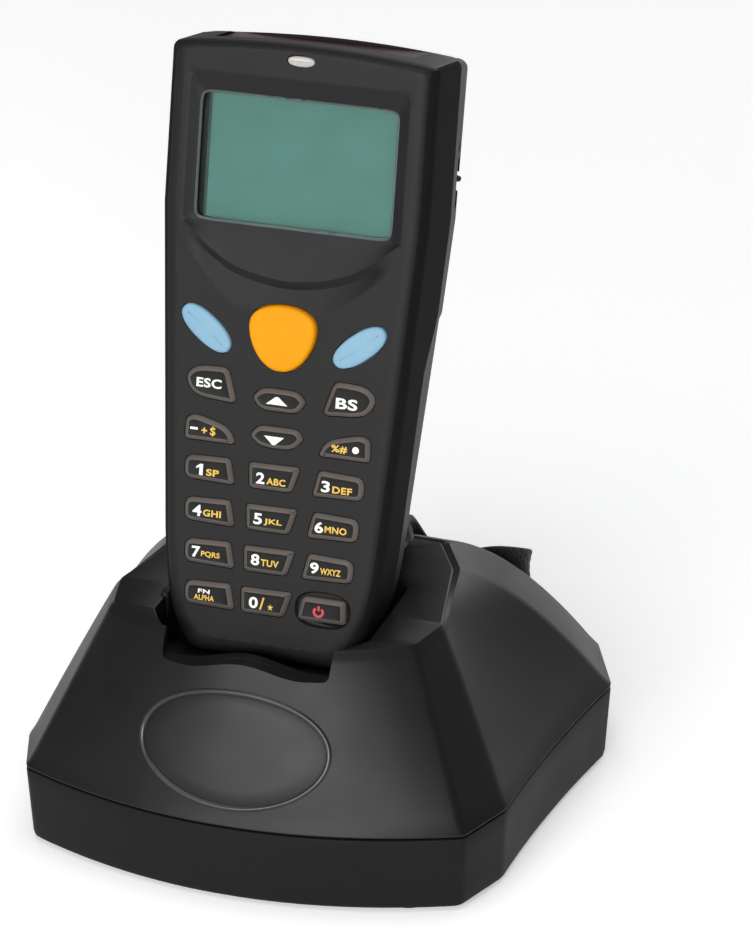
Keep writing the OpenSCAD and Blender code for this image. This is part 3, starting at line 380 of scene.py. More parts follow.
def carve(piece, tools, how="DIFFERENCE", sharpFrom=30):
    # cuts the tools out of the piece, or joins them to it, and throws the tools away
    for tool in tools:
        step = piece.modifiers.new("carve", "BOOLEAN")
        step.operation, step.object, step.solver = how, tool, "EXACT"
    graph = bpy.context.evaluated_depsgraph_get()
    data = bpy.data.meshes.new_from_object(piece.evaluated_get(graph))
    piece.modifiers.clear()
    piece.data = data
    for tool in tools:
        bpy.data.objects.remove(tool)
    tidyMesh(data, sharpFrom)
    return piece


def evenShading(piece):
    # large faces lead the shading, so that cuts leave no smudges beside them
    step = piece.modifiers.new("evenShading", "WEIGHTED_NORMAL")
    step.keep_sharp = True


def mirrorRing(half):
    return list(half) + [(-x, y, z) for x, y, z in reversed(half)]


def around(size, rows, rejoin=False):
    # the faces between rings of points that follow each other; rejoin leads the last ring back to the first
    return [(j * size + i, j * size + k, n * size + k, n * size + i)
            for j in range(rows if rejoin else rows - 1) for n in [(j + 1) % rows]
            for i in range(size) for k in [(i + 1) % size]]


def capped(size, rows):
    return around(size, rows) + [tuple(range((rows - 1) * size, rows * size)), tuple(range(size - 1, -1, -1))]


def prism(outline, low, high):
    size = len(outline)
    points = [(x, y, z) for z in (low, high) for x, y in outline]
    return points, around(size, 2) + [tuple(range(size)), tuple(range(size, 2 * size))]


def circle(at, radius, sides):
    turn = [2 * math.pi * i / sides for i in range(sides)]
    return [(at[0] + radius * math.cos(a), at[1] + radius * math.sin(a)) for a in turn]


def loft(rings):
    # rings made by mirrorRing(), so each end is closed by strips across the middle
    size = len(rings[0])
    faces = around(size, len(rings))
    for start in (0, (len(rings) - 1) * size):
        faces += [(start + i, start + i + 1, start + size - 2 - i, start + size - 1 - i)
                  for i in range(size // 2 - 1)]
    return [p for ring in rings for p in ring], faces


def onTerminal(points):
    lean = math.radians(stance["lean"])
    up, out = (math.sin(lean), math.cos(lean)), (-math.cos(lean), math.sin(lean))
    return [(x, stance["seat"][0] + s * up[0] + n * out[0], stance["seat"][1] + s * up[1] + n * out[1])
            for x, s, n in points]


def offTerminal(place):
    # the other way: a point in metres as x, s and n on the terminal
    lean = math.radians(stance["lean"])
    y, z = place[1] / mm - stance["seat"][0], place[2] / mm - stance["seat"][1]
    return place[0] / mm, y * math.sin(lean) + z * math.cos(lean), -y * math.cos(lean) + z * math.sin(lean)


def makeTool(points, faces, leaning=False):
    return makePiece("tool", onTerminal(points) if leaning else points, faces, [], None)


def blockTool(x, y, z, leaning=False):
    # a box from ranges along three directions, to cut with
    points = [(a, b, c) for c in z for b in y for a in x]
    faces = [(0, 2, 3, 1), (4, 5, 7, 6), (0, 1, 5, 4), (2, 6, 7, 3), (0, 4, 6, 2), (1, 3, 7, 5)]
    return makeTool(points, faces, leaning)


def roundTool(at, radius, low, high, leaning=False):
    return makeTool(*prism(circle(at, radius, 40), low, high), leaning)


def bothSides(places):
    return [(side * x, y) for x, y in places for side in (-1, 1)]


def lineUp(low, high, count):
    return [low + (high - low) * i / count for i in range(count)]


def between(a, b, t):
    return tuple(p + (q - p) * t for p, q in zip(a, b))


def curvePoints(points, per, closed=False):
    # a smooth line through points
    last = len(points)
    made = []
    for i in range(last if closed else last - 1):
        near = [points[(i + k) % last] if closed else points[min(last - 1, max(0, i + k))]
                for k in (-1, 0, 1, 2)]
        a, b, c, d = (np.array(p, float) for p in near)
        for k in range(per):
            t = k / per
            made.append(tuple(0.5 * (2 * b + (c - a) * t + (2 * a - 5 * b + 4 * c - d) * t ** 2
                                     + (3 * b - a - 3 * c + d) * t ** 3)))
    return made if closed else made + [tuple(float(v) for v in points[-1])]


stance = {
    "lean": 13.0,              # how far the terminal leans back, in degrees
    "seat": (-27.6, 44.67),    # where its lower face edge stands
}

# cradle

cradleValues = {
    "deck": 51.0,
    "seam": 17.1,
    "deckFront": 32.1,
    "deckSide": 34.5,
    "deckBack": 29.0,
    "deckRear": 22.7,
    "footFront": 46.7,
    "footSide": 51.35,
    "footBack": 56.5,
    "footRear": 48.3,
    "footDeep": 51.87,
    "frontEdge": (-38.8, 11.2),     # where the deck's front edge lies in the middle, and how much it bows
    "footBow": 10.8,
    "sideCorner": (-17.5, -27.8),   # how far forward the side begins at the deck and at the foot
    "sideLong": 57.9,
    "backCorner": (7.4, 18.7),      # the deck's two rear corners
    "rearBow": 3.8,
    "dome": (1.08, 1.05, 1.6),      # how domed the front, the side and the back are
    "corner": 1.3,      # how softly the facets meet
    "wall": 2.2,
    "wellHalf": 22.6,
    "wellFront": 8.0,
    "wellBack": 38.0,
    "wellStep": 25.5,       # how far behind the terminal's face the well narrows
    "wellThin": 14.5,
    "wellFloor": -2.8,
    "notch": [(17.85, 52.0), (17.55, 46.4), (17.2, 45.75), (16.5, 45.5), (13.2, 45.5)],
    "notchRise": 2.1,       # how much higher the notch's edge is in the middle
    "notchDeep": (-32.0, -53.0),
}


def cradleStations(values):
    # deck point, foot point, how domed the slope is there, and whether two facets meet there
    deep, rearBow = values["footDeep"], values["rearBow"]
    (edge, bow), (deckCorner, footCorner) = values["frontEdge"], values["sideCorner"]
    (backY, rearY), (front, side, rear) = values["backCorner"], values["dome"]
    made = []
    for i in range(1, 17):
        u = i / 16
        made.append(((values["deckFront"] * u, edge + bow * u * u),
                     (values["footFront"] * u, -deep + values["footBow"] * u * u),
                     front - 0.08 * max(0, (u - 0.8) / 0.2), u == 1))
    start = (values["deckSide"], deckCorner)
    made.append((start, (values["footSide"], footCorner), side, True))
    for i in range(1, 11):
        v = i / 10
        bowed = v * (v + (1 - v) * 0.12)
        foot = (values["footSide"] + (values["footBack"] - values["footSide"]) * bowed,
                footCorner + values["sideLong"] * v)
        made.append((between(start, (values["deckBack"], backY), v), foot, side + 0.4 * v, i == 10))
    made.append(((values["deckRear"], rearY), (values["footRear"], deep - rearBow), rear, True))
    for i in range(1, 11):
        q = i / 10.5
        made.append(((values["deckRear"] * (1 - q), rearY + 0.5 * q),
                     (values["footRear"] * (1 - q), deep - rearBow * (1 - q) ** 2), rear, False))
    return made


def roundOff(before, here, after, reach, most, steps):
    # a soft corner: starts and ends within reach of the point here
    before, here, after = (np.array(p, float) for p in (before, here, after))
    start = here + (before - here) * min(most, reach / np.linalg.norm(before - here))
    end = here + (after - here) * min(most, reach / np.linalg.norm(after - here))
    return [tuple((1 - t) ** 2 * start + 2 * t * (1 - t) * here + t * t * end)
            for t in [k / steps for k in range(steps + 1)]]


def softCorners(line, marks, reach):
    made = []
    for i, point in enumerate(line):
        made += roundOff(line[i - 1], point, line[i + 1], reach, 0.45, 5) if marks[i] else [point]
    return made


def cradleRing(values, stations, t, inset=0.0, height=None, drop=0.0):
    line = []
    for deck, foot, dome, _ in stations:
        x, y = between(deck, foot, t)
        z = values["deck"] - drop - (values["deck"] - drop - values["seam"]) * t ** dome
        line.append((x * (1 - inset / values["footBack"]), y * (1 - inset / values["footDeep"]),
                     z if height is None else height))
    return mirrorRing(softCorners(line, [s[3] for s in stations], values["corner"]))


def wellOutline(values, grow):
    # full width where the terminal stands, and narrower behind it, where only the battery door needs the room
    half, front, step = values["wellHalf"], values["wellFront"], values["wellStep"]
    thin, back = values["wellThin"], values["wellBack"]
    line = [(half - 4, front), (half - 2.2, front - 2.4), (half, front - 6)]
    for cx, cn, radius, start in ((half - 5, 5 - step, 5, 0), (thin + 3, -step - 3.4, -3, 1),
                                  (thin - 3, 3 - back, 3, 0)):
        for i in range(10):
            a = math.radians(10 * (9 - i if start else i))
            line.append((cx + radius * math.cos(a), cn - radius * math.sin(a)))
    line += [(-x, n) for x, n in reversed(line)]
    moved = []
    for i, (x, n) in enumerate(line):
        (ax, an), (bx, bn) = line[i - 1], line[(i + 1) % len(line)]
        long = math.hypot(bx - ax, bn - an)
        moved.append((x - grow * (bn - an) / long, n + grow * (bx - ax) / long))
    return moved


def wellTool(values, grow, low, lip):
    # the well's outline pushed along the terminal, with its mouth opened a little at the deck
    lean = math.radians(stance["lean"])

    def ring(offset, out):
        return [(x, (values["deck"] - stance["seat"][1] - n * math.sin(lean)) / math.cos(lean) + offset, n)
                for x, n in wellOutline(values, grow + out)]

    rings = [[(x, low, n) for x, n in wellOutline(values, grow)]]
    if lip:
        rings += [ring(offset, out) for offset, out in (
            (-0.9, 0.0), (-0.4, 0.08), (-0.12, 0.28), (0.0, 0.55), (0.3, 1.4), (30, 1.4))]
    else:
        rings.append([(x, 60, n) for x, n in wellOutline(values, grow)])
    return makeTool(*loft(rings), True)


def makeCradleTop(values):
    stations = cradleStations(values)
    rims = [(0.8, values["deck"]), (0.32, values["deck"] - 0.13), (0.06, values["deck"] - 0.45)]
    rings = [cradleRing(values, stations, 0, inset, height) for inset, height in rims]
    rings += [cradleRing(values, stations, t) for t in lineUp(0.04, 0.985, 22)]
    rings += [cradleRing(values, stations, 1, 0, values["seam"] + 0.45),
              cradleRing(values, stations, 1, 0.12, values["seam"] + 0.15),
              cradleRing(values, stations, 1, 0.4, values["seam"])]
    top = makePiece("cradleTopShell", *loft(rings), ["cradle"], "cradle", 24)
    wall = values["wall"]
    inner = [cradleRing(values, stations, t, wall, None, wall) for t in (0, 0.15, 0.35, 0.6, 0.85)]
    inner.append(cradleRing(values, stations, 1, wall, values["seam"] - 1))
    block = makeTool(*loft(inner))
    carve(block, [wellTool(values, wall, values["wellFloor"] - 2, False)])
    carve(top, [block, wellTool(values, 0, values["wellFloor"], True)])
    shape = list(values["notch"])
    reach, edge = shape[-1]
    shape += [(reach * i / 12, edge + values["notchRise"] * math.cos(math.pi * i / 24) ** 2)
              for i in range(11, -1, -1)]
    shape += [(-x, z) for x, z in reversed(shape[:-1])]
    points, faces = prism(shape, *values["notchDeep"])
    carve(top, [makeTool([(x, y, z) for x, z, y in points], faces[-2:] + faces[:-2])], sharpFrom=24)
    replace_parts(top, "cradle_top")


baseValues = {
    "low": 0.4,
    "top": 16.8,
    "draft": 0.9,       # how far the sides come in towards the table
    "screws": [(38, -26), (42, 30)],
    "pads": [(34, -38), (38, 41)],
    "openings": [(-20, 9, 11), (16, 15, 10.6)],     # power jack and data socket: middle across, width, height
    "openingSeat": 5.6,
    "openingDeep": (40, 56),
    "screwRoom": (3.1, 2.0),        # radius and depth of the screws' and the feet's seats
    "padRoom": (5.1, 1.0),
}


def makeBase(values, cradle):
    stations = cradleStations(cradle)

    def ring(z, inset):
        return cradleRing(cradle, stations, 1, inset, z)

    low, top, draft = values["low"], values["top"], values["draft"]
    rings = [ring(low, draft + 1.5), ring(low + 0.25, draft + 0.8), ring(low + 0.8, draft + 0.25),
             ring(low + 1.8, draft)]
    rings += [ring(z, draft * (top - z) / (top - low - 1.8)) for z in (5, 9, 13, top - 0.5)]
    rings += [ring(top - 0.15, 0.12), ring(top, 0.4)]
    base = makePiece("cradleBaseShell", *loft(rings), ["cradleFoot"], "cradle", 24)
    wall = cradle["wall"]
    tools = [makeTool(*loft([ring(low + wall, draft + wall), ring(top + 1, wall)]))]
    (screw, screwDeep), (pad, padDeep) = values["screwRoom"], values["padRoom"]
    tools += [roundTool(place, screw, -1, low + screwDeep) for place in bothSides(values["screws"])]
    tools += [roundTool(place, pad, -1, padDeep) for place in bothSides(values["pads"])]
    seat, room = values["openingSeat"], 0.2
    for x, wide, high in values["openings"]:
        tools.append(blockTool((x - wide / 2 - room, x + wide / 2 + room), values["openingDeep"],
                               (seat - room, seat + high + room)))
    carve(base, tools, sharpFrom=24)
    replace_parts(base, "cradle_base")


makeCradleTop(cradleValues)
makeBase(baseValues, cradleValues)
print("cradle shells built")

# terminal case

caseValues = {
    "length": 121.94,
    "half": 27.6,
    "taper": 0.065,
    "taperFrom": 88.0,
    "endDrop": 2.5,
    "corner": (8.0, 26.5, 2.4),     # width, height and squareness of the rounded lower corners
    "topRise": 1.54,
    "headCorner": 1.7,
    "edge": 3.5,
    "headDeep": 28.0,
    "gripDeep": 22.4,
    "step": 68.0,
    "stepDeep": 1.4,
    "joint": (12.8, 17.2),
    "face": 1.6,
    "wall": 2.0,
    "windows": [((116.8, 128), 20.7, -20.7), ((-4.5, 2.7), 6.2, -13.7)],     # scan and data window
    "windowFront": -7.3,
    "screws": [(22.5, 116.5), (13.5, 3.2)],
    "screwSizes": (2.4, 1.3, 2.2),      # radius of pillar, hole and head
    "bay": (11.3, 19.1, 67.3),
    "bayFloor": -10.0,
    "doorSeat": (16.4, -20.6),          # lower end and depth of the ledge that the battery door lies on
    "hingeSeat": (7.3, (15.2, 21.0), -18.8),
    "rib": 1.2,
    "ribStart": (13.8, -9.1),
    "pillar": (-28, -13.2),
    "screwFloor": (2, -20),             # how deep the hole and the head's seat are cut
    "behind": -31,                      # clear of the back, where the cuts begin
    "strapSlot": (21.0, 90.0, 100.0, -21.6),
    "slotWall": 1.6,
    "slotSkin": (-24.7, 93.0, 97.0),    # the skin left behind the slot, and the gap in it for the loop
}


def caseSide(values, s):
    wide, high, power = values["corner"]
    part = min(1, max(0, (high - values["endDrop"] - s) / high))
    cut = wide * (1 - (1 - part ** power) ** (1 / power))
    return values["half"] - values["taper"] * max(0, values["taperFrom"] - s) - cut


def topLine(values, x):
    return values["length"] - values["topRise"] * (x / values["half"]) ** 2


def caseHalf(values):
    low, high = values["endDrop"], values["corner"][1]
    heights = [high - low - high * math.sin(math.radians(a)) for a in range(90, 0, -5)]
    heights += lineUp(high - low, 62, 9) + [62, 65, 67.2, 67.7, 68.2, 68.8, 70]
    heights += lineUp(74, values["taperFrom"], 3) + lineUp(values["taperFrom"], 116, 8)
    half = [(x * t, -low) for t, x in ((0.12, 16.5), (0.37, 16.5), (0.6, 16.5), (0.8, 16.5))]
    half += [(caseSide(values, s), s) for s in heights]
    corner = values["headCorner"]
    centre = (values["half"] - corner, topLine(values, values["half"]) - corner)
    half.append((values["half"], 116))
    half += [(centre[0] + corner * math.cos(a), centre[1] + corner * math.sin(a))
             for a in [math.radians(15 * i) for i in range(7)]]
    half += [(x, topLine(values, x)) for x in (24, 22.4, 20.7, 17.5, 14, 10.5, 7, 3.5, 1.2)]
    return half


def stepUp(t):
    u = min(1, max(0, t))
    return u * u * (3 - 2 * u)


def jointDepth(values, s):
    grip, head = values["joint"]
    return -(grip + (head - grip) * stepUp((s - 56) / 14))


def backDepth(values, s):
    head = -(values["headDeep"] - 0.03 * (values["length"] - s))
    gripTop = values["headDeep"] - 0.03 * (values["length"] - values["step"]) - values["stepDeep"]
    grip = -(values["gripDeep"] + (gripTop - values["gripDeep"]) * max(0, s - 28) / (values["step"] - 28))
    return grip + (head - grip) * stepUp((s - values["step"] + 0.7) / 1.4)


def caseRing(values, half, inset, depth, top=1.0):
    middle = values["length"] / 2
    ring = []
    for x, s in half:
        above = s - middle
        pull = 1 - inset * (top if above > 0 else 1) / middle
        ring.append((x * (1 - inset / values["half"]), middle + above * pull, depth(s)))
    return mirrorRing(ring)


def edgeInset(values, n):
    return values["edge"] * (1 - math.sqrt(max(0, 1 - ((n + values["edge"]) / values["edge"]) ** 2)))


def insideShape(points, shape):
    # which of the points lie inside a closed shape
    inside = np.zeros(len(points), bool)
    x, y = points[:, 0], points[:, 1]
    for (ax, ay), (bx, by) in zip(shape, shape[1:] + shape[:1]):
        crosses = ((ay > y) != (by > y)) & (x < (bx - ax) * (y - ay) / ((by - ay) or 1e-12) + ax)
        inside ^= crosses
    return inside


def roundedShape(corners, radii):
    return [p for i, corner in enumerate(corners)
            for p in roundOff(corners[i - 1], corner, corners[(i + 1) % len(corners)], radii[i], 0.49, 6)]


def superShape(half, tall, power, steps=48, at=(0, 0)):
    # a rounded rectangle; the power says how square it is
    return [(math.copysign(half * abs(c) ** (2 / power), c) + at[0],
             math.copysign(tall * abs(s) ** (2 / power), s) + at[1]) for c, s in circle((0, 0), 1, steps)]


def grown(shape, by):
    # the shape's outline moved outwards along its own normals
    points = np.array(shape, float)
    along = np.roll(points, -1, 0) - np.roll(points, 1, 0)
    along /= np.linalg.norm(along, axis=1)[:, None]
    area = 0.5 * np.sum(points[:, 0] * np.roll(points[:, 1], -1) - np.roll(points[:, 0], -1) * points[:, 1])
    side = 1 if area > 0 else -1
    return [tuple(p) for p in points + by * side * np.stack([along[:, 1], -along[:, 0]], 1)]


def turned(shape, degrees):
    c, s = math.cos(math.radians(degrees)), math.sin(math.radians(degrees))
    return [(x * c - y * s, x * s + y * c) for x, y in shape]


def mirrored(shape):
    return [(-x, y) for x, y in reversed(shape)]


def stepped(outline, steps):
    # the outline at the height of each step, moved in or out by the step's first number
    return [(x, s, n) for by, n in steps for x, s in (grown(outline, by) if by else outline)]


# keys: where each stands, its outline, its height and what is printed on it

keyValues = {
    "pitch": 8.53,
    "firstRow": 35.6,
    "column": 13.57,
    "closeUp": 0.53,        # how much the columns close up in each row
    "height": 0.9,
    "scanHeight": 1.6,
    "bevel": 0.78,
    "gap": 0.2,
    "low": -1.75,           # where the flange under the case's face ends
}
sideKey = roundedShape([(-5.35, 2.35), (4.25, 2.7), (5.4, -2.6), (-5.2, -2.3)], [2.0, 1.0, 1.0, 1.7])
middleKey = roundedShape([(-5.45, 2.55), (5.4, 2.7), (3.9, -2.6), (-5.1, -2.6)], [0.9, 0.9, 1.2, 1.0])
cornerKey = roundedShape([(-5.5, 1.1), (-3.2, 3.4), (3.5, 3.7), (5.7, -3.4), (-3.6, -2.7)],
                         [1.6, 2.4, 1.5, 1.6, 3.2])
upKey = roundedShape([(-5.6, 0.2), (-3.6, 2.4), (3.9, 2.4), (5.7, 0.4), (4.0, -2.1), (-3.8, -2.1)],
                     [0.8, 2.0, 2.0, 0.8, 1.8, 1.8])
downKey = roundedShape([(-5.6, 0.0), (-4.0, 2.2), (4.4, 2.3), (5.7, 0.4), (3.4, -2.1), (-3.4, -2.1)],
                       [0.8, 1.5, 1.5, 0.8, 2.6, 2.6])
wedgeKey = roundedShape([(-5.2, 1.9), (-3.2, 2.7), (4.0, 0.9), (5.5, -2.5), (-5.3, -2.5)],
                        [1.2, 1.6, 3.0, 0.9, 1.0])
powerKey = roundedShape([(-4.3, 2.4), (4.7, 2.4), (5.0, -2.4), (-5.2, -2.4)], [1.2, 0.8, 1.0, 1.0])
shieldKey = curvePoints([(0, 6.5), (3.5, 6.0), (6.1, 4.5), (7.0, 2.2), (6.4, -1.2), (4.6, -4.4), (2.2, -6.3),
                         (0, -6.75), (-2.2, -6.3), (-4.6, -4.4), (-6.4, -1.2), (-7.0, 2.2), (-6.1, 4.5),
                         (-3.5, 6.0)], 5, True)
petalKey = superShape(6.3, 2.75, 2.25)


def keyPlaces(values):
    def row(i):
        return values["firstRow"] - i * values["pitch"]

    def column(i):
        return values["column"] - i * values["closeUp"]

    places = {
        "scan": ((0, 64.0), shieldKey),
        "left": ((-16.04, 64.0), turned(petalKey, -38)),
        "right": ((16.04, 64.0), turned(petalKey, 38)),
        "esc": ((-14.45, 52.9), cornerKey),
        "backspace": ((14.85, 52.9), mirrored(cornerKey)),
        "up": ((0, row(-2) - 1.5), upKey),
        "down": ((0, row(-1) - 0.5), downKey),
        "minus": ((-14.0, row(-1) - 0.4), wedgeKey),
        "percent": ((14.4, row(-1) - 0.4), mirrored(wedgeKey)),
    }
    for i, names in enumerate((("1", "2", "3"), ("4", "5", "6"), ("7", "8", "9"), ("fn", "0", "power"))):
        for x, name, shape in zip((-column(i), 0, column(i)), names, (sideKey, middleKey, mirrored(sideKey))):
            places[name] = ((x, row(i)), powerKey if name == "power" else shape)
    return {name: [(x + at[0], y + at[1]) for x, y in shape] for name, (at, shape) in places.items()}


keyShapes = keyPlaces(keyValues)

faceValues = {
    "display": ((0, 98.4), 20.7, 13.05, 18),
    "light": ((0, 119.0), 2.9, 1.25, 2.4),
    "surround": (22.8, 115.2),      # half width and top of the sloping frame round the display
    "frameDeep": 0.9,
    "crescent": [(-22.6, 85.2), (-16.46, 80.2), (-9.93, 76.8), (0.5, 75.3), (10.4, 77.1), (17.0, 80.6),
                 (22.8, 85.2)],
    "fold": [(-21.5, 80.4), (-18.3, 76.9), (-14.6, 72.6), (-10.2, 69.4), (-3, 69.0), (3, 69.0), (7.8, 69.2),
             (13.6, 72.8), (18.4, 76.9), (21.5, 80.4)],
    "ridge": 1.7,
    "hollow": 0.85,
    "powerPlace": ((11.95, 10.0), 5.9, 3.75, 2.6),      # the oval recess that the power key stands in
    "powerDeep": 0.55,
}


def lineHeight(line, x):
    xs, ys = zip(*line)
    return float(np.interp(x, xs, ys))


def faceRelief(values, x, s):
    # the display's sloping frame, the lit panel below it and the hollow under that
    (_, middle), half, tall, _ = values["display"]
    wide, top = values["surround"]
    crest, fold = lineHeight(smoothCrescent, x), lineHeight(values["fold"], x)
    low = middle - tall
    if abs(x) < wide and s > crest:
        parts = [(wide - abs(x)) / (wide - half - 0.1), (top - s) / (top - middle - tall - 0.1)]
        if low > crest + 0.05:
            parts.append((s - crest) / (low - crest))
        return -values["frameDeep"] * max(0, min(1, *parts))
    if abs(x) < 21.5 and fold < s <= crest:
        fade = stepUp((21.5 - abs(x)) / 5)
        base = crest - values["ridge"]
        if s > base:
            return -values["hollow"] * fade * (crest - s) / values["ridge"]
        return -values["hollow"] * fade * (s - fold) / max(0.05, base - fold) if base > fold else 0.0
    (cx, cy), wide, tall, power = values["powerPlace"]
    reach = (abs((x - cx) / wide) ** power + abs((s - cy) / tall) ** power) ** (1 / power)
    return -values["powerDeep"] * max(0, min(1, (1 - reach) / 0.08))


smoothCrescent = curvePoints(faceValues["crescent"], 8)


def holeShapes(values, keys, gap):
    openings = [(values["display"], 96), (values["light"], 40)]
    return [superShape(*sizes, steps, at) for (at, *sizes), steps in openings] + [
        grown(shape, gap) for shape in keys.values()]


def triangulate(outline, holes, creases, step):
    # fills the outline between the holes with small triangles, with edges along the creases
    points, edges = [], []

    def addLine(line, closed):
        start = len(points)
        points.extend(line)
        count = len(line)
        edges.extend((start + i, start + (i + 1) % count) for i in range(count if closed else count - 1))

    addLine(outline, True)
    for hole in holes:
        addLine(hole, True)
    for crease in creases:
        addLine(crease, False)
    xs, ys = zip(*outline)
    grid = np.array([(x, y) for x in np.arange(min(xs), max(xs), step)
                     for y in np.arange(min(ys), max(ys), step)])
    keep = insideShape(grid, outline)
    for hole in holes:
        keep &= ~insideShape(grid, hole)
    fixed = np.array(points)
    grid = grid[keep]
    near = np.array([np.min(np.hypot(*(fixed - g).T)) for g in grid])
    points.extend(map(tuple, grid[near > 0.35 * step]))
    result = delaunay_2d_cdt([Vector(p) for p in points], edges, [], 0, 1e-5)
    made, triangles, origins = result[0], result[2], result[3]
    made = np.array([tuple(p) for p in made])
    middle = made[np.array(triangles)].mean(axis=1)
    wanted = insideShape(middle, outline)
    for hole in holes:
        wanted &= ~insideShape(middle, hole)
    found = {old: new for new, olds in enumerate(origins) for old in olds}
    return made, [t for t, w in zip(triangles, wanted) if w], [found[i] for i in range(len(fixed))]


def windowTools(values):
    front = values["windowFront"]
    return [blockTool((-x, x), span, (low, front), True) for span, x, low in values["windows"]]


def makeFrontCase(values, face, keys, gap):
    half = caseHalf(values)

    def joint(s):
        return jointDepth(values, s)

    levels = [-3.0, -2.5, -2.0, -1.5, -1.05, -0.65, -0.35, -0.13, 0.0]
    outer = [caseRing(values, half, 0.3, joint), caseRing(values, half, 0.05, lambda s: joint(s) + 0.25)]
    outer += [caseRing(values, half, 0, lambda s, t=t: joint(s) * (1 - t) - 3.5 * t)
              for t in (0.08, 0.4, 0.7, 1)]
    outer += [caseRing(values, half, edgeInset(values, n), lambda s, n=n: n, 0.35) for n in levels]
    wall = values["wall"]
    inner = [caseRing(values, half, wall, joint), caseRing(values, half, wall, lambda s: -4.0),
             caseRing(values, half, wall + edgeInset(values, -1.6), lambda s: -1.6, 0.7)]
    holes = holeShapes(face, keys, gap)
    creases = [[p for p in smoothCrescent if abs(p[0]) < 22.7],
               [(x, lineHeight(smoothCrescent, x) - face["ridge"]) for x in np.arange(-19, 19.1, 0.8)],
               curvePoints(face["fold"], 4),
               [(-22.8, 86), (-22.8, 112.6), (-22.0, 114.4), (-20.4, 115.2), (20.4, 115.2), (22.0, 114.4),
                (22.8, 112.6), (22.8, 86)]]
    at, wide, tall, power = face["powerPlace"]
    for part in (0.9, 1.0):
        line = superShape(wide * part, tall * part, power, 60, at)
        creases.append(line + line[:1])
    points, faces = [], []

    def addFace(ring, relief, step, lines):
        outline = [(p[0], p[1]) for p in ring]
        made, triangles, order = triangulate(outline, holes, lines, step)
        start = len(points)
        points.extend((x, s, relief(x, s)) for x, s in made)
        faces.extend(tuple(start + i for i in t) for t in triangles)
        return [start + i for i in order]

    front = addFace(outer[-1], lambda x, s: faceRelief(face, x, s), 0.8, creases)
    back = addFace(inner[-1], lambda x, s: -values["face"], 4.0, [])
    size = len(outer[0])
    first = len(points)
    for ring in outer[:-1] + inner[:-1]:
        points.extend(ring)

    def strip(a, b):
        faces.extend((a[i], a[(i + 1) % len(a)], b[(i + 1) % len(a)], b[i]) for i in range(len(a)))

    rows = [[first + j * size + i for i in range(size)] for j in range(len(outer) + len(inner) - 2)]
    outerRows = rows[:len(outer) - 1] + [front[:size]]
    innerRows = rows[len(outer) - 1:] + [back[:size]]
    for group in (outerRows, innerRows):
        for a, b in zip(group, group[1:]):
            strip(a, b)
    strip(outerRows[0], innerRows[0])
    at = size
    for hole in holes:
        strip(front[at:at + len(hole)], back[at:at + len(hole)])
        at += len(hole)
    case = makePiece("frontCaseShell", onTerminal(points), faces, ["case"], "terminal", 26)
    carve(case, windowTools(values), sharpFrom=26)
    case.data.materials.append(finishes["caseSide"])
    for side in case.data.polygons:
        side.material_index = int(abs(side.normal.x) > 0.6)
    evenShading(case)
    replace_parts(case, "front_case")


def makeRearCase(values):
    half = caseHalf(values)

    def back(rise):
        return lambda s: backDepth(values, s) + rise

    profile = [(4.4, 0), (3.5, 0.14), (2.7, 0.5), (2.0, 1.15), (1.45, 1.95), (1.1, 3.0), (0.85, 4.6)]
    rings = [caseRing(values, half, inset, back(rise)) for inset, rise in profile]
    rings += [caseRing(values, half, 0.15, lambda s: jointDepth(values, s) - 0.35),
              caseRing(values, half, 0.45, lambda s: jointDepth(values, s))]
    points, faces = loft(rings)
    case = makePiece("rearCaseShell", onTerminal(points), faces, ["case"], "terminal", 26)
    wall = values["wall"]
    points, faces = loft([
        caseRing(values, half, 5.2, back(wall)), caseRing(values, half, wall + 1.2, back(wall + 2.4)),
        caseRing(values, half, wall + 0.15, lambda s: jointDepth(values, s) + 1)])
    carve(case, [makeTool(points, faces, True)])
    bayHalf, bayLow, bayHigh = values["bay"]
    slotX, slotLow, slotHigh, slotDeep = values["strapSlot"]
    skin, gapLow, gapHigh = values["slotSkin"]
    rib, wall = values["rib"], values["slotWall"]
    pillar, hole, head = values["screwSizes"]
    (ribLow, ribFloor), (doorLow, doorFloor) = values["ribStart"], values["doorSeat"]
    hingeHalf, hingeSpan, hingeFloor = values["hingeSeat"]
    behind = values["behind"]
    body = makeTool(*loft(rings), True)
    ribs = blockTool((-bayHalf - rib, bayHalf + rib), (ribLow, bayHigh + rib), (-30, ribFloor), True)
    others = [blockTool((slotX - wall, 30), (slotLow - wall, slotHigh + wall), (-30, slotDeep + wall), True)]
    others += [roundTool(place, pillar, *values["pillar"], True) for place in bothSides(values["screws"])]
    carve(ribs, others, "UNION")
    carve(ribs, [body], "INTERSECT")
    carve(case, [ribs], "UNION")
    cuts = [blockTool((-bayHalf, bayHalf), (bayLow, bayHigh), (behind, values["bayFloor"]), True),
            blockTool((-bayHalf - rib, bayHalf + rib), (doorLow, bayHigh - 0.4), (behind, doorFloor), True),
            blockTool((-hingeHalf, hingeHalf), hingeSpan, (behind, hingeFloor), True),
            blockTool((slotX, 31), (slotLow, slotHigh), (skin, slotDeep), True),
            blockTool((slotX, 31), (gapLow, gapHigh), (behind, slotDeep + 0.01), True)]
    for place in bothSides(values["screws"]):
        cuts += [roundTool(place, radius, behind, floor, True)
                 for radius, floor in zip((hole, head), values["screwFloor"])]
    carve(case, cuts + windowTools(values), sharpFrom=26)
    # painted shade: the faces inside the strap slot take the darker black finish, standing in for the shadow
    # in the slot
    case.data.materials.append(finishes["black"])
    spans = ((slotX, 27.35), (slotLow, slotHigh), (skin, slotDeep))
    for side in case.data.polygons:
        slotShadePainted = all(low - 0.1 < c < high + 0.1 for c, (low, high) in zip(offTerminal(side.center), spans))
        side.material_index = int(slotShadePainted)
    evenShading(case)
    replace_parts(case, "rear_case")


makeFrontCase(caseValues, faceValues, keyShapes, keyValues["gap"])
makeRearCase(caseValues)
print("terminal case built")


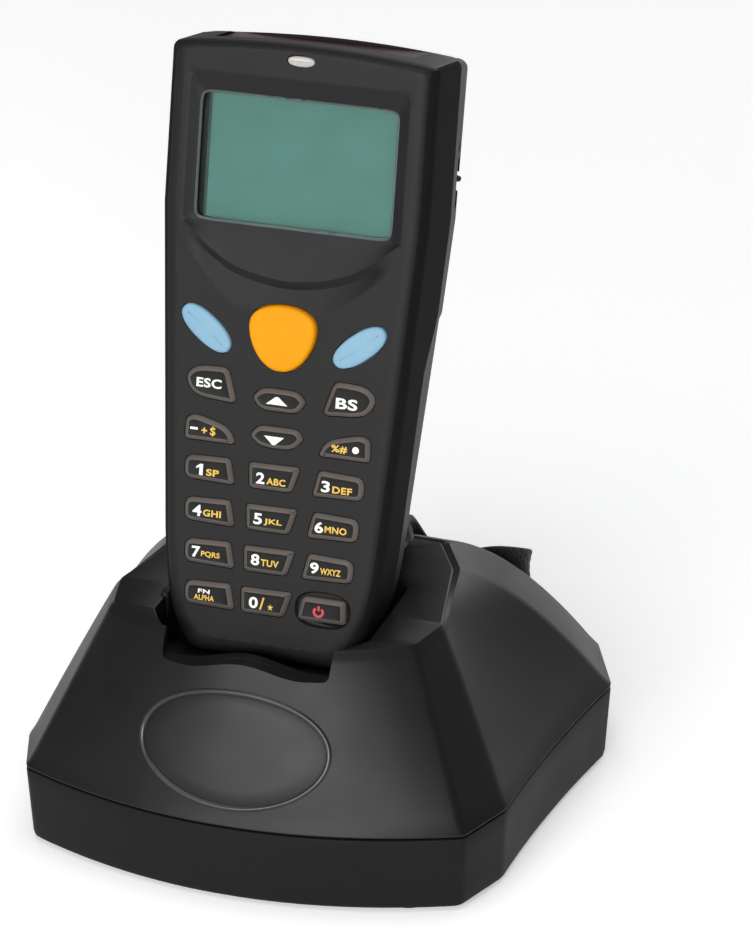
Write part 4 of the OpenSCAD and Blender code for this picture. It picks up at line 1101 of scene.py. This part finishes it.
def makeKey(name, shape, height, values, rimFinish, topFinish, soft=False):
    low, foot, bevel = values["low"], 0.1, values["bevel"]
    steps = [(0.0, low), (0.0, foot)]
    if soft:
        steps += [(-0.05, height * 0.55), (-0.22, height * 0.78), (-0.55, height * 0.93),
                  (-1.05, height * 0.99), (-1.8, height)]
    else:
        steps += [(-0.04, foot + 0.12), (-bevel + 0.06, height - 0.08), (-bevel - 0.02, height - 0.02),
                  (-bevel - 0.1, height - 0.06)]
    points, size = stepped(shape, steps), len(shape)
    rim = points[-size:]
    cx, cy = np.mean([p[:2] for p in rim], axis=0)
    dip = -0.02 if soft else 0.05
    points += [(cx + (p[0] - cx) * t, cy + (p[1] - cy) * t, p[2] - dip * (1 - t))
               for t in (0.6, 0.25) for p in rim]
    kinds = [0] * (len(steps) - 1) * size + [1] * (2 * size + 1) + [0]
    body, node = "key_" + name + "_body", "key_" + name
    key = makePiece(name + "Cap", onTerminal(points), capped(size, len(steps) + 2), [rimFinish, topFinish],
                    body, 40, kinds)
    for part, outline, start, end in (("Stem", circle((cx, cy), 1.3, 18), -4.6, low + 0.05),
                                      ("Flange", grown(shape, 0.5), low - 0.8, low)):
        points, faces = prism(outline, start, end)
        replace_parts(makePiece(name + part, onTerminal(points), faces, [rimFinish], body), node)
    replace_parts(key, node)


softKeys = {"scan": ("orange", "scanHeight"), "left": ("blue", "height"), "right": ("blue", "height")}
for name, shape in keyShapes.items():
    if name in softKeys:
        finish, height = softKeys[name]
        makeKey(name, shape, keyValues[height], keyValues, finish, finish, True)
    else:
        makeKey(name, shape, keyValues["height"], keyValues, "keyRim", "keyTop")
print("keys built")

# printed legends: text, middle across, middle up, width, height, ink

white, amber, red = "inkWhite", "inkAmber", "inkRed"
legendValues = {
    "esc": [("ESC", -14.6, 53.1, 5.3, 1.9, white)],
    "backspace": [("BS", 14.3, 52.5, 4.5, 2.2, white)],
    "minus": [("-", -17.2, 43.6, 1.6, 0.5, white), ("+", -15.0, 43.4, 1.2, 1.2, amber),
              ("S", -13.2, 43.4, 1.15, 1.6, amber), ("I", -13.2, 43.4, 0.22, 2.1, amber)],
    "percent": [("%#", 13.4, 43.3, 3.3, 1.6, amber), ("dot", 16.8, 43.5, 1.4, 1.4, white)],
    "up": [("rise", -0.2, 51.3, 4.5, 1.6, white)],
    "down": [("fall", -0.3, 43.2, 4.2, 1.7, white)],
    "1": [("1", -15.5, 35.4, 1.4, 2.3, white), ("SP", -12.7, 35.0, 2.7, 1.4, amber)],
    "2": [("2", -2.6, 35.3, 1.8, 2.3, white), ("ABC", 0.7, 34.9, 4.0, 1.4, amber)],
    "3": [("3", 11.1, 35.4, 1.8, 2.3, white), ("DEF", 14.6, 35.0, 4.1, 1.4, amber)],
    "4": [("4", -15.5, 27.0, 1.9, 2.3, white), ("GHI", -12.3, 26.7, 3.8, 1.4, amber)],
    "5": [("5", -2.6, 27.0, 1.8, 2.3, white), ("JKL", 0.6, 26.6, 3.8, 1.4, amber)],
    "6": [("6", 10.3, 27.0, 1.8, 2.3, white), ("MNO", 13.8, 26.8, 4.6, 1.4, amber)],
    "7": [("7", -15.2, 18.5, 1.8, 2.3, white), ("PQRS", -12.1, 18.2, 4.0, 1.3, amber)],
    "8": [("8", -2.6, 18.6, 1.8, 2.3, white), ("TUV", 0.5, 18.2, 3.8, 1.4, amber)],
    "9": [("9", 9.9, 18.6, 1.8, 2.3, white), ("WXYZ", 13.3, 18.2, 4.3, 1.3, amber)],
    "fn": [("FN", -13.0, 10.6, 2.5, 0.9, white), ("ALPHA", -12.9, 9.3, 4.3, 1.1, amber)],
    "0": [("0", -2.4, 9.8, 1.9, 2.3, white), ("/", -0.6, 9.8, 1.0, 2.5, amber),
          ("*", 1.2, 9.3, 1.3, 1.3, amber)],
    "power": [("ring", 11.35, 9.8, 2.4, 2.4, red)],
}


def letterShape(text):
    curve = bpy.data.curves.new("letters", "FONT")
    curve.body, curve.offset, curve.space_character, curve.resolution_u = text, 0.028, 1.06, 4
    holder = addObject("letters", curve)
    data = bpy.data.meshes.new_from_object(holder.evaluated_get(bpy.context.evaluated_depsgraph_get()))
    points = [(v.co.x, v.co.y) for v in data.vertices]
    faces = [tuple(p.vertices) for p in data.polygons]
    bpy.data.objects.remove(holder)
    return points, faces


def powerSign(inner=0.56, start=130, end=410, steps=28):
    turn = [math.radians(start + (end - start) * i / steps) for i in range(steps + 1)]
    points = [(r * math.cos(a), r * math.sin(a)) for r in (1.0, inner) for a in turn]
    faces = [(i, i + 1, steps + 2 + i, steps + 1 + i) for i in range(steps)]
    count = len(points)
    return points + [(-0.2, 0.25), (0.2, 0.25), (0.2, 1.15), (-0.2, 1.15)], faces + [
        (count, count + 1, count + 2, count + 3)]


signs = {
    "1": [(-0.05, -1), (1, -1), (1, 1), (0.15, 1), (-1, 0.5), (-1, 0.12), (-0.05, 0.45)],
    "*": [(r * math.cos(a), r * math.sin(a))
          for r, a in zip((1, 0.42) * 5, [math.radians(90 + 36 * i) for i in range(10)])],
    "rise": [(-1, -1), (1, -1), (0.12, 0.9), (-0.12, 0.9)],
    "fall": [(-1, 1), (-0.12, -0.9), (0.12, -0.9), (1, 1)],
    "dot": superShape(1, 1, 2, 24),
}


def signShape(text):
    if text in signs:
        return signs[text], [tuple(range(len(signs[text])))]
    return powerSign() if text == "ring" else letterShape(text)


def makeLegends(values, keys):
    lift = keys["height"] - 0.035
    for name, prints in values.items():
        for i, (text, x, s, wide, tall, ink) in enumerate(prints):
            points, faces = signShape(text)
            flat = np.array(points)
            low, high = flat.min(axis=0), flat.max(axis=0)
            flat = (flat - (low + high) / 2) / (high - low) * (wide, tall) + (x, s)
            made = [(a, b, lift) for a, b in flat] + [(a, b, lift - 0.02) for a, b in flat]
            size = len(flat)
            sides = {}
            for face in faces:
                for a, b in zip(face, face[1:] + face[:1]):
                    sides[(a, b)] = sides.get((b, a), 0) + 1
            edges = [(a, b) for a, b in sides if (b, a) not in sides]
            solid = list(faces) + [tuple(size + v for v in reversed(face)) for face in faces]
            solid += [(a, b, size + b, size + a) for a, b in edges]
            makePiece(name + "Print" + str(i), onTerminal(made), solid, [ink], "key_" + name + "_body", 20)


makeLegends(legendValues, keyValues)
print("legends printed")

# display and status light

displayValues = {
    "edgeWide": 0.42,
    "edgeHigh": -0.93,
    "edgeLow": -1.25,
    "lightRise": 0.12,
    "maskDepth": (-2.96, -2.88),
    "maskInset": (1.5, 0.1, 0.1, 0.25),     # left, right, lower and upper width of the black border that paints the display's shade
    "maskSoft": 0.55,
}


def makeWindowEdge(values, face):
    # the clear window's bevelled edge, which catches the light round the display
    at, half, tall, power = face["display"]
    outline = superShape(half - 0.04, tall - 0.04, power, 96, at)
    wide, low, high = values["edgeWide"], values["edgeLow"], values["edgeHigh"]
    points = stepped(outline, [(0, low - 0.25), (0, high), (-0.12, high + 0.04), (-wide, low),
                               (-wide, low - 0.25)])
    makePiece("windowEdge", onTerminal(points), around(len(outline), 5, True), ["windowEdge"], "terminal", 20)


def makePaintedShade(values, face):
    # painted shade: a black sheet round the display, widest on the left, with a soft dark green step beside
    # it, standing in for the shadow of the bezel and its walls on the display
    (cx, cy), half, tall, _ = face["display"]
    low, high = values["maskDepth"]
    left, right, under, over = values["maskInset"]
    outer = (half + 0.4, half + 0.4, tall + 0.4, tall + 0.4)
    step = (half - left, half - right, tall - under, tall - over)
    inner = (half - left - values["maskSoft"], half - right - 0.05, tall - under - 0.05, tall - over - 0.15)
    for name, finish, *rings in (("displayMask", "black", outer, step),
                                 ("displayShade", "displayShade", step, inner)):
        points = [(cx + sx * (west if sx < 0 else east), cy + sy * (south if sy < 0 else north), n)
                  for n in (low, high) for west, east, south, north in rings
                  for sx, sy in ((-1, -1), (1, -1), (1, 1), (-1, 1))]
        faces = []
        for a, b in ((0, 4), (8, 12), (0, 8), (4, 12)):
            faces += [(a + i, a + (i + 1) % 4, b + (i + 1) % 4, b + i) for i in range(4)]
        makePiece(name, onTerminal(points), faces, [finish], "terminal")


def makeLightLens(values, face):
    (cx, cy), half, tall, power = face["light"]
    outline = [(x + cx, y * (1.0 if y < 0 else 0.8) + cy)
               for x, y in superShape(half - 0.1, tall - 0.08, power)]
    rise = values["lightRise"]
    points = stepped(outline, [(0, -1.6), (0, -0.25), (-0.12, rise - 0.16), (-0.35, rise - 0.03),
                               (-0.7, rise)])
    lens = makePiece("statusLens", onTerminal(points), capped(len(outline), 5), ["lens"], "terminal", 40)
    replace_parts(lens, "status_light_lens")


makeWindowEdge(displayValues, faceValues)
makePaintedShade(displayValues, faceValues)
makeLightLens(displayValues, faceValues)

# badge place on the cradle's front, left bare

badgeValues = {
    "middle": 31.6,     # height of its middle above the table
    "half": (19.7, 11.6),
    "across": -0.2,
    "leaned": 0.93,     # its height as the slope makes it look
    "ring": 0.62,
    "rise": 0.45,
}


def frontSlope(values, x, z, out=0.0):
    # the point of the cradle's front slope at x and z, moved out along its normal
    def at(x, z):
        t = max(0, (values["deck"] - z) / (values["deck"] - values["seam"])) ** (1 / values["dome"][0])
        u = x / (values["deckFront"] + (values["footFront"] - values["deckFront"]) * t)
        edge, bow = values["frontEdge"]
        deck, foot = edge + bow * u * u, -values["footDeep"] + values["footBow"] * u * u
        return deck + (foot - deck) * t

    normal = np.array([(at(x + 0.2, z) - at(x - 0.2, z)) / 0.4, -1, (at(x, z + 0.2) - at(x, z - 0.2)) / 0.4])
    return tuple(np.array([x, at(x, z), z]) + out * normal / np.linalg.norm(normal))


def makeBadge(values, cradle):
    steps, wide, rise = 120, values["ring"], values["rise"]

    def oval(grow, out, t=1):
        across, up = ((h + grow) * t for h in values["half"])
        return [frontSlope(cradle, values["across"] + across * c,
                           values["middle"] + up * s * values["leaned"], out)
                for c, s in circle((0, 0), 1, steps)]

    section = [(wide, -0.3), (wide * 0.9, 0.02), (wide * 0.55, rise * 0.85), (0, rise),
               (-wide * 0.55, rise * 0.8), (-wide * 0.9, 0.0), (-wide * 1.15, -0.3)]
    points = [p for grow, out in section for p in oval(grow, out)]
    makePiece("badgeRing", points, around(steps, len(section), True), ["badgeRim"], "cradle", 60)
    levels = [(1, -0.3), (1, 0.0), (0.985, 0.06), (0.75, 0.06), (0.5, 0.06), (0.25, 0.06)]
    points = [p for t, out in levels for p in oval(-wide * 1.05, out, t)]
    makePiece("badgePlate", points, capped(steps, len(levels)), ["badge"], "cradle", 60)


makeBadge(badgeValues, cradleValues)
print("display edge, status light and badge place built")

# guide pads at the mouth of the well

padValues = {
    "places": [(-23.1, -20.6), (-23.1, -16.2)],
    "half": (0.9, 1.7),
    "top": 51.6,
    "low": 46.0,
}


def makeGuidePads(values):
    top, outline = values["top"], superShape(*values["half"], 3, 24)
    levels = [(1, values["low"]), (1, top - 0.5), (0.85, top - 0.15), (0.5, top)]
    for i, (x, y) in enumerate(values["places"]):
        points = [(x + a * t, y + b * t, z) for t, z in levels for a, b in outline]
        makePiece("guidePad" + str(i), points, capped(24, 4), ["black"], "cradle", 40)


makeGuidePads(padValues)

# wrist strap and the thin loop that holds it; the routes' points are those of the solids

strapValues = {
    "route": [
        (16.4, 17.2, 106), (16.4, 14.2, 98), (16.4, 9.6, 86), (16.4, 6, 74), (16.4, 3.8, 65),
        (16.2, 3.4, 58.8), (15.4, 7, 54.8), (13.6, 13.2, 53), (11.6, 19.6, 52.4), (10.2, 25.8, 50.4),
        (9.6, 31.8, 46.8),
        (11.6, 37.4, 39.4), (14.8, 42.2, 34.6), (20, 44.4, 33), (25.6, 43.4, 35.3), (29.8, 42.2, 36.6),
        (32.6, 42.4, 36.6), (33.4, 44.4, 35), (32, 46.6, 33), (28.6, 47.4, 31.2), (23, 48, 29.8),
        (15, 48.4, 29.8), (8, 46, 32.6), (4, 41, 38.6), (3.6, 34, 46), (6, 27.4, 51.8), (10, 21, 54.4),
        (13.8, 14.6, 54.9), (16.2, 8.8, 56.2), (16.4, 6.4, 61), (16.4, 6.6, 67), (16.4, 8.6, 75),
        (16.4, 12.2, 86.6), (16.4, 16.6, 98.6), (16.4, 19.4, 106),
    ],
    "across": [
        (1, 0, 0), (1, 0, 0), (1, 0, 0), (1, -0.2, 0), (1, -0.3, 0), (1, -0.2, 0),
        (1, 0, 0.1), (1, 0.1, 0.1), (1, 0.2, 0.1), (0.9, 0.2, 0.3), (0.8, 0.1, 0.5),
        (0.95, 0.1, 0.25), (0.75, 0, 0.5), (0.2, 0, 0.95), (0, 0, 1), (0, 0, 1),
        (0, 0, 1), (0, 0, 1), (0, 0, 1), (0, 0, 1), (0, 0, 1), (0, 0, 1),
        (0.2, 0, 0.95), (0.5, 0, 0.8), (0.8, 0, 0.6), (1, 0.1, 0.3), (1, 0.1, 0.1), (1, 0, 0.1),
        (1, -0.1, 0), (1, -0.3, 0), (1, -0.3, 0), (1, -0.2, 0), (1, 0, 0),
        (1, 0, 0), (1, 0, 0),
    ],
    "wide": 7.0,
    "thick": 1.3,
    "fibres": 1.6,      # for each millimetre
    "sewn": (4, 30),    # the route's points between which the strap is a free loop
    "loop": [
        (17.4, 76, -30.6), (18.8, 82, -30.4), (21.6, 88.4, -29.7), (23.4, 92.8, -28.9), (24.6, 95, -27.4),
        (26, 95.4, -25.6), (24.6, 95.6, -23.5), (22.3, 95.6, -24.7), (21.9, 95, -26.9), (20.6, 92.6, -28.9),
        (17.8, 88, -29.9), (16, 82, -30.6), (15.4, 76, -30.6),
    ],
    "loopThick": 1.2,
    "ferrule": ((16.4, 73.0, -30.4), (4.5, 3.5, 2.2)),
}


def unit(v):
    return v / np.linalg.norm(v)


def tubeAlong(path, across, section):
    # section gives points across and through the tube; returns points, faces and how far along each ring lies
    path, across = np.array(path), np.array(across)
    points, far = [], [0.0]
    for i in range(len(path)):
        along = unit(path[min(len(path) - 1, i + 1)] - path[max(0, i - 1)])
        side = unit(across[i] - along * (across[i] @ along))
        through = np.cross(along, side)
        points += [tuple(path[i] + side * a + through * b) for a, b in section]
        if i:
            far.append(far[-1] + float(np.linalg.norm(path[i] - path[i - 1])))
    return points, capped(len(section), len(path)), far


def makeBand(name, values, path, across, fuzz):
    # a woven band along a path, with short loose fibres on it
    half, deep = values["wide"] / 2, values["thick"] / 2
    section = [(half, 0), (half - 0.12, deep * 0.6), (half - 0.45, deep * 0.95)]
    section += [(half * t, deep * (0.9 + 0.1 * (k % 2)))
                for k, t in enumerate((0.66, 0.44, 0.22, 0, -0.22, -0.44, -0.66))]
    section += [(-half + 0.45, deep * 0.95), (-half + 0.12, deep * 0.6), (-half, 0)]
    section += [(a, -b) for a, b in reversed(section[1:-1])]
    points, faces, far = tubeAlong(path, across, section)
    size = len(section)
    where = {tuple(round(c * 1000) for c in points[j * size + i]): (along, a)
             for j, along in enumerate(far) for i, (a, b) in enumerate(section)}
    for _ in range(round(values["fibres"] * far[-1])):
        j = int(fuzz.integers(2, len(path) - 2))
        root = np.array(points[j * size + int(fuzz.integers(0, size))])
        out = unit(root - np.array(path[j])) + fuzz.normal(0, 0.5, 3)
        side = unit(np.cross(out, fuzz.normal(0, 1, 3))) * 0.035
        start = len(points)
        points += [tuple(root - side), tuple(root + side), tuple(root + unit(out) * fuzz.uniform(0.25, 0.6))]
        faces.append((start, start + 1, start + 2))
    band = makePiece(name, points, faces, ["strap"], "terminal", 50)
    weave = band.data.uv_layers.new(name="weave")
    for loop in band.data.loops:
        at = band.data.vertices[loop.vertex_index].co / mm
        weave.data[loop.index].uv = where.get(tuple(round(c * 1000) for c in at), (0, 0))
    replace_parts(band, "wrist_strap")
    return band, far[-1]


def makeStrap(values):
    # both ends go into the slider and are sewn to each other; the rest is a free loop
    path, across = curvePoints(values["route"], 8), curvePoints(values["across"], 8)
    fuzz = np.random.default_rng(7)
    first, last = 8 * values["sewn"][0], 8 * values["sewn"][1]
    makeBand("sewnStrapFront", values, path[:first + 1], across[:first + 1], fuzz)
    makeBand("sewnStrapBack", values, path[last:], across[last:], fuzz)
    path, across = path[first:last + 1], across[first:last + 1]
    strap, far = makeBand("wovenStrap", values, path, across, fuzz)
    tuple(c * mm for c in path[0])
    [tuple(c * mm for c in p) for p in path]
    return far


def makeLoop(values):
    path = curvePoints(onTerminal(values["loop"]), 6)
    across = np.subtract(*onTerminal([(0.3, 0.9, 0.3), (0, 0, 0)]))
    points, faces, far = tubeAlong(path, [across] * len(path), circle((0, 0), values["loopThick"] / 2, 12))
    loop = makePiece("strapLoop", points, faces, ["cordBlack"], "terminal", 60)
    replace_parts(loop, "strap_loop")
    [tuple(c * mm for c in p) for p in path]
    return far[-1]


def makeFerrule(values):
    # the moulded slider that joins the strap's ends to the loop
    (cx, cs, cn), (half, tall, deep) = values["ferrule"]
    outline = superShape(half, deep, 5, 40)
    levels = [(0.86, -1), (0.96, -0.93), (1, -0.8), (1, -0.25), (0.95, -0.2), (0.95, 0.2), (1, 0.25),
              (1, 0.8), (0.96, 0.93), (0.86, 1)]
    points = [(cx + a * t, cs + tall * v, cn + b * t) for t, v in levels for a, b in outline]
    ferrule = makePiece("strapSlider", onTerminal(points), capped(40, 10), ["black"], "terminal", 35)
    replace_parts(ferrule, "strap_ferrule")


print("strap", round(makeStrap(strapValues)), "mm, loop", round(makeLoop(strapValues)), "mm")
makeFerrule(strapValues)
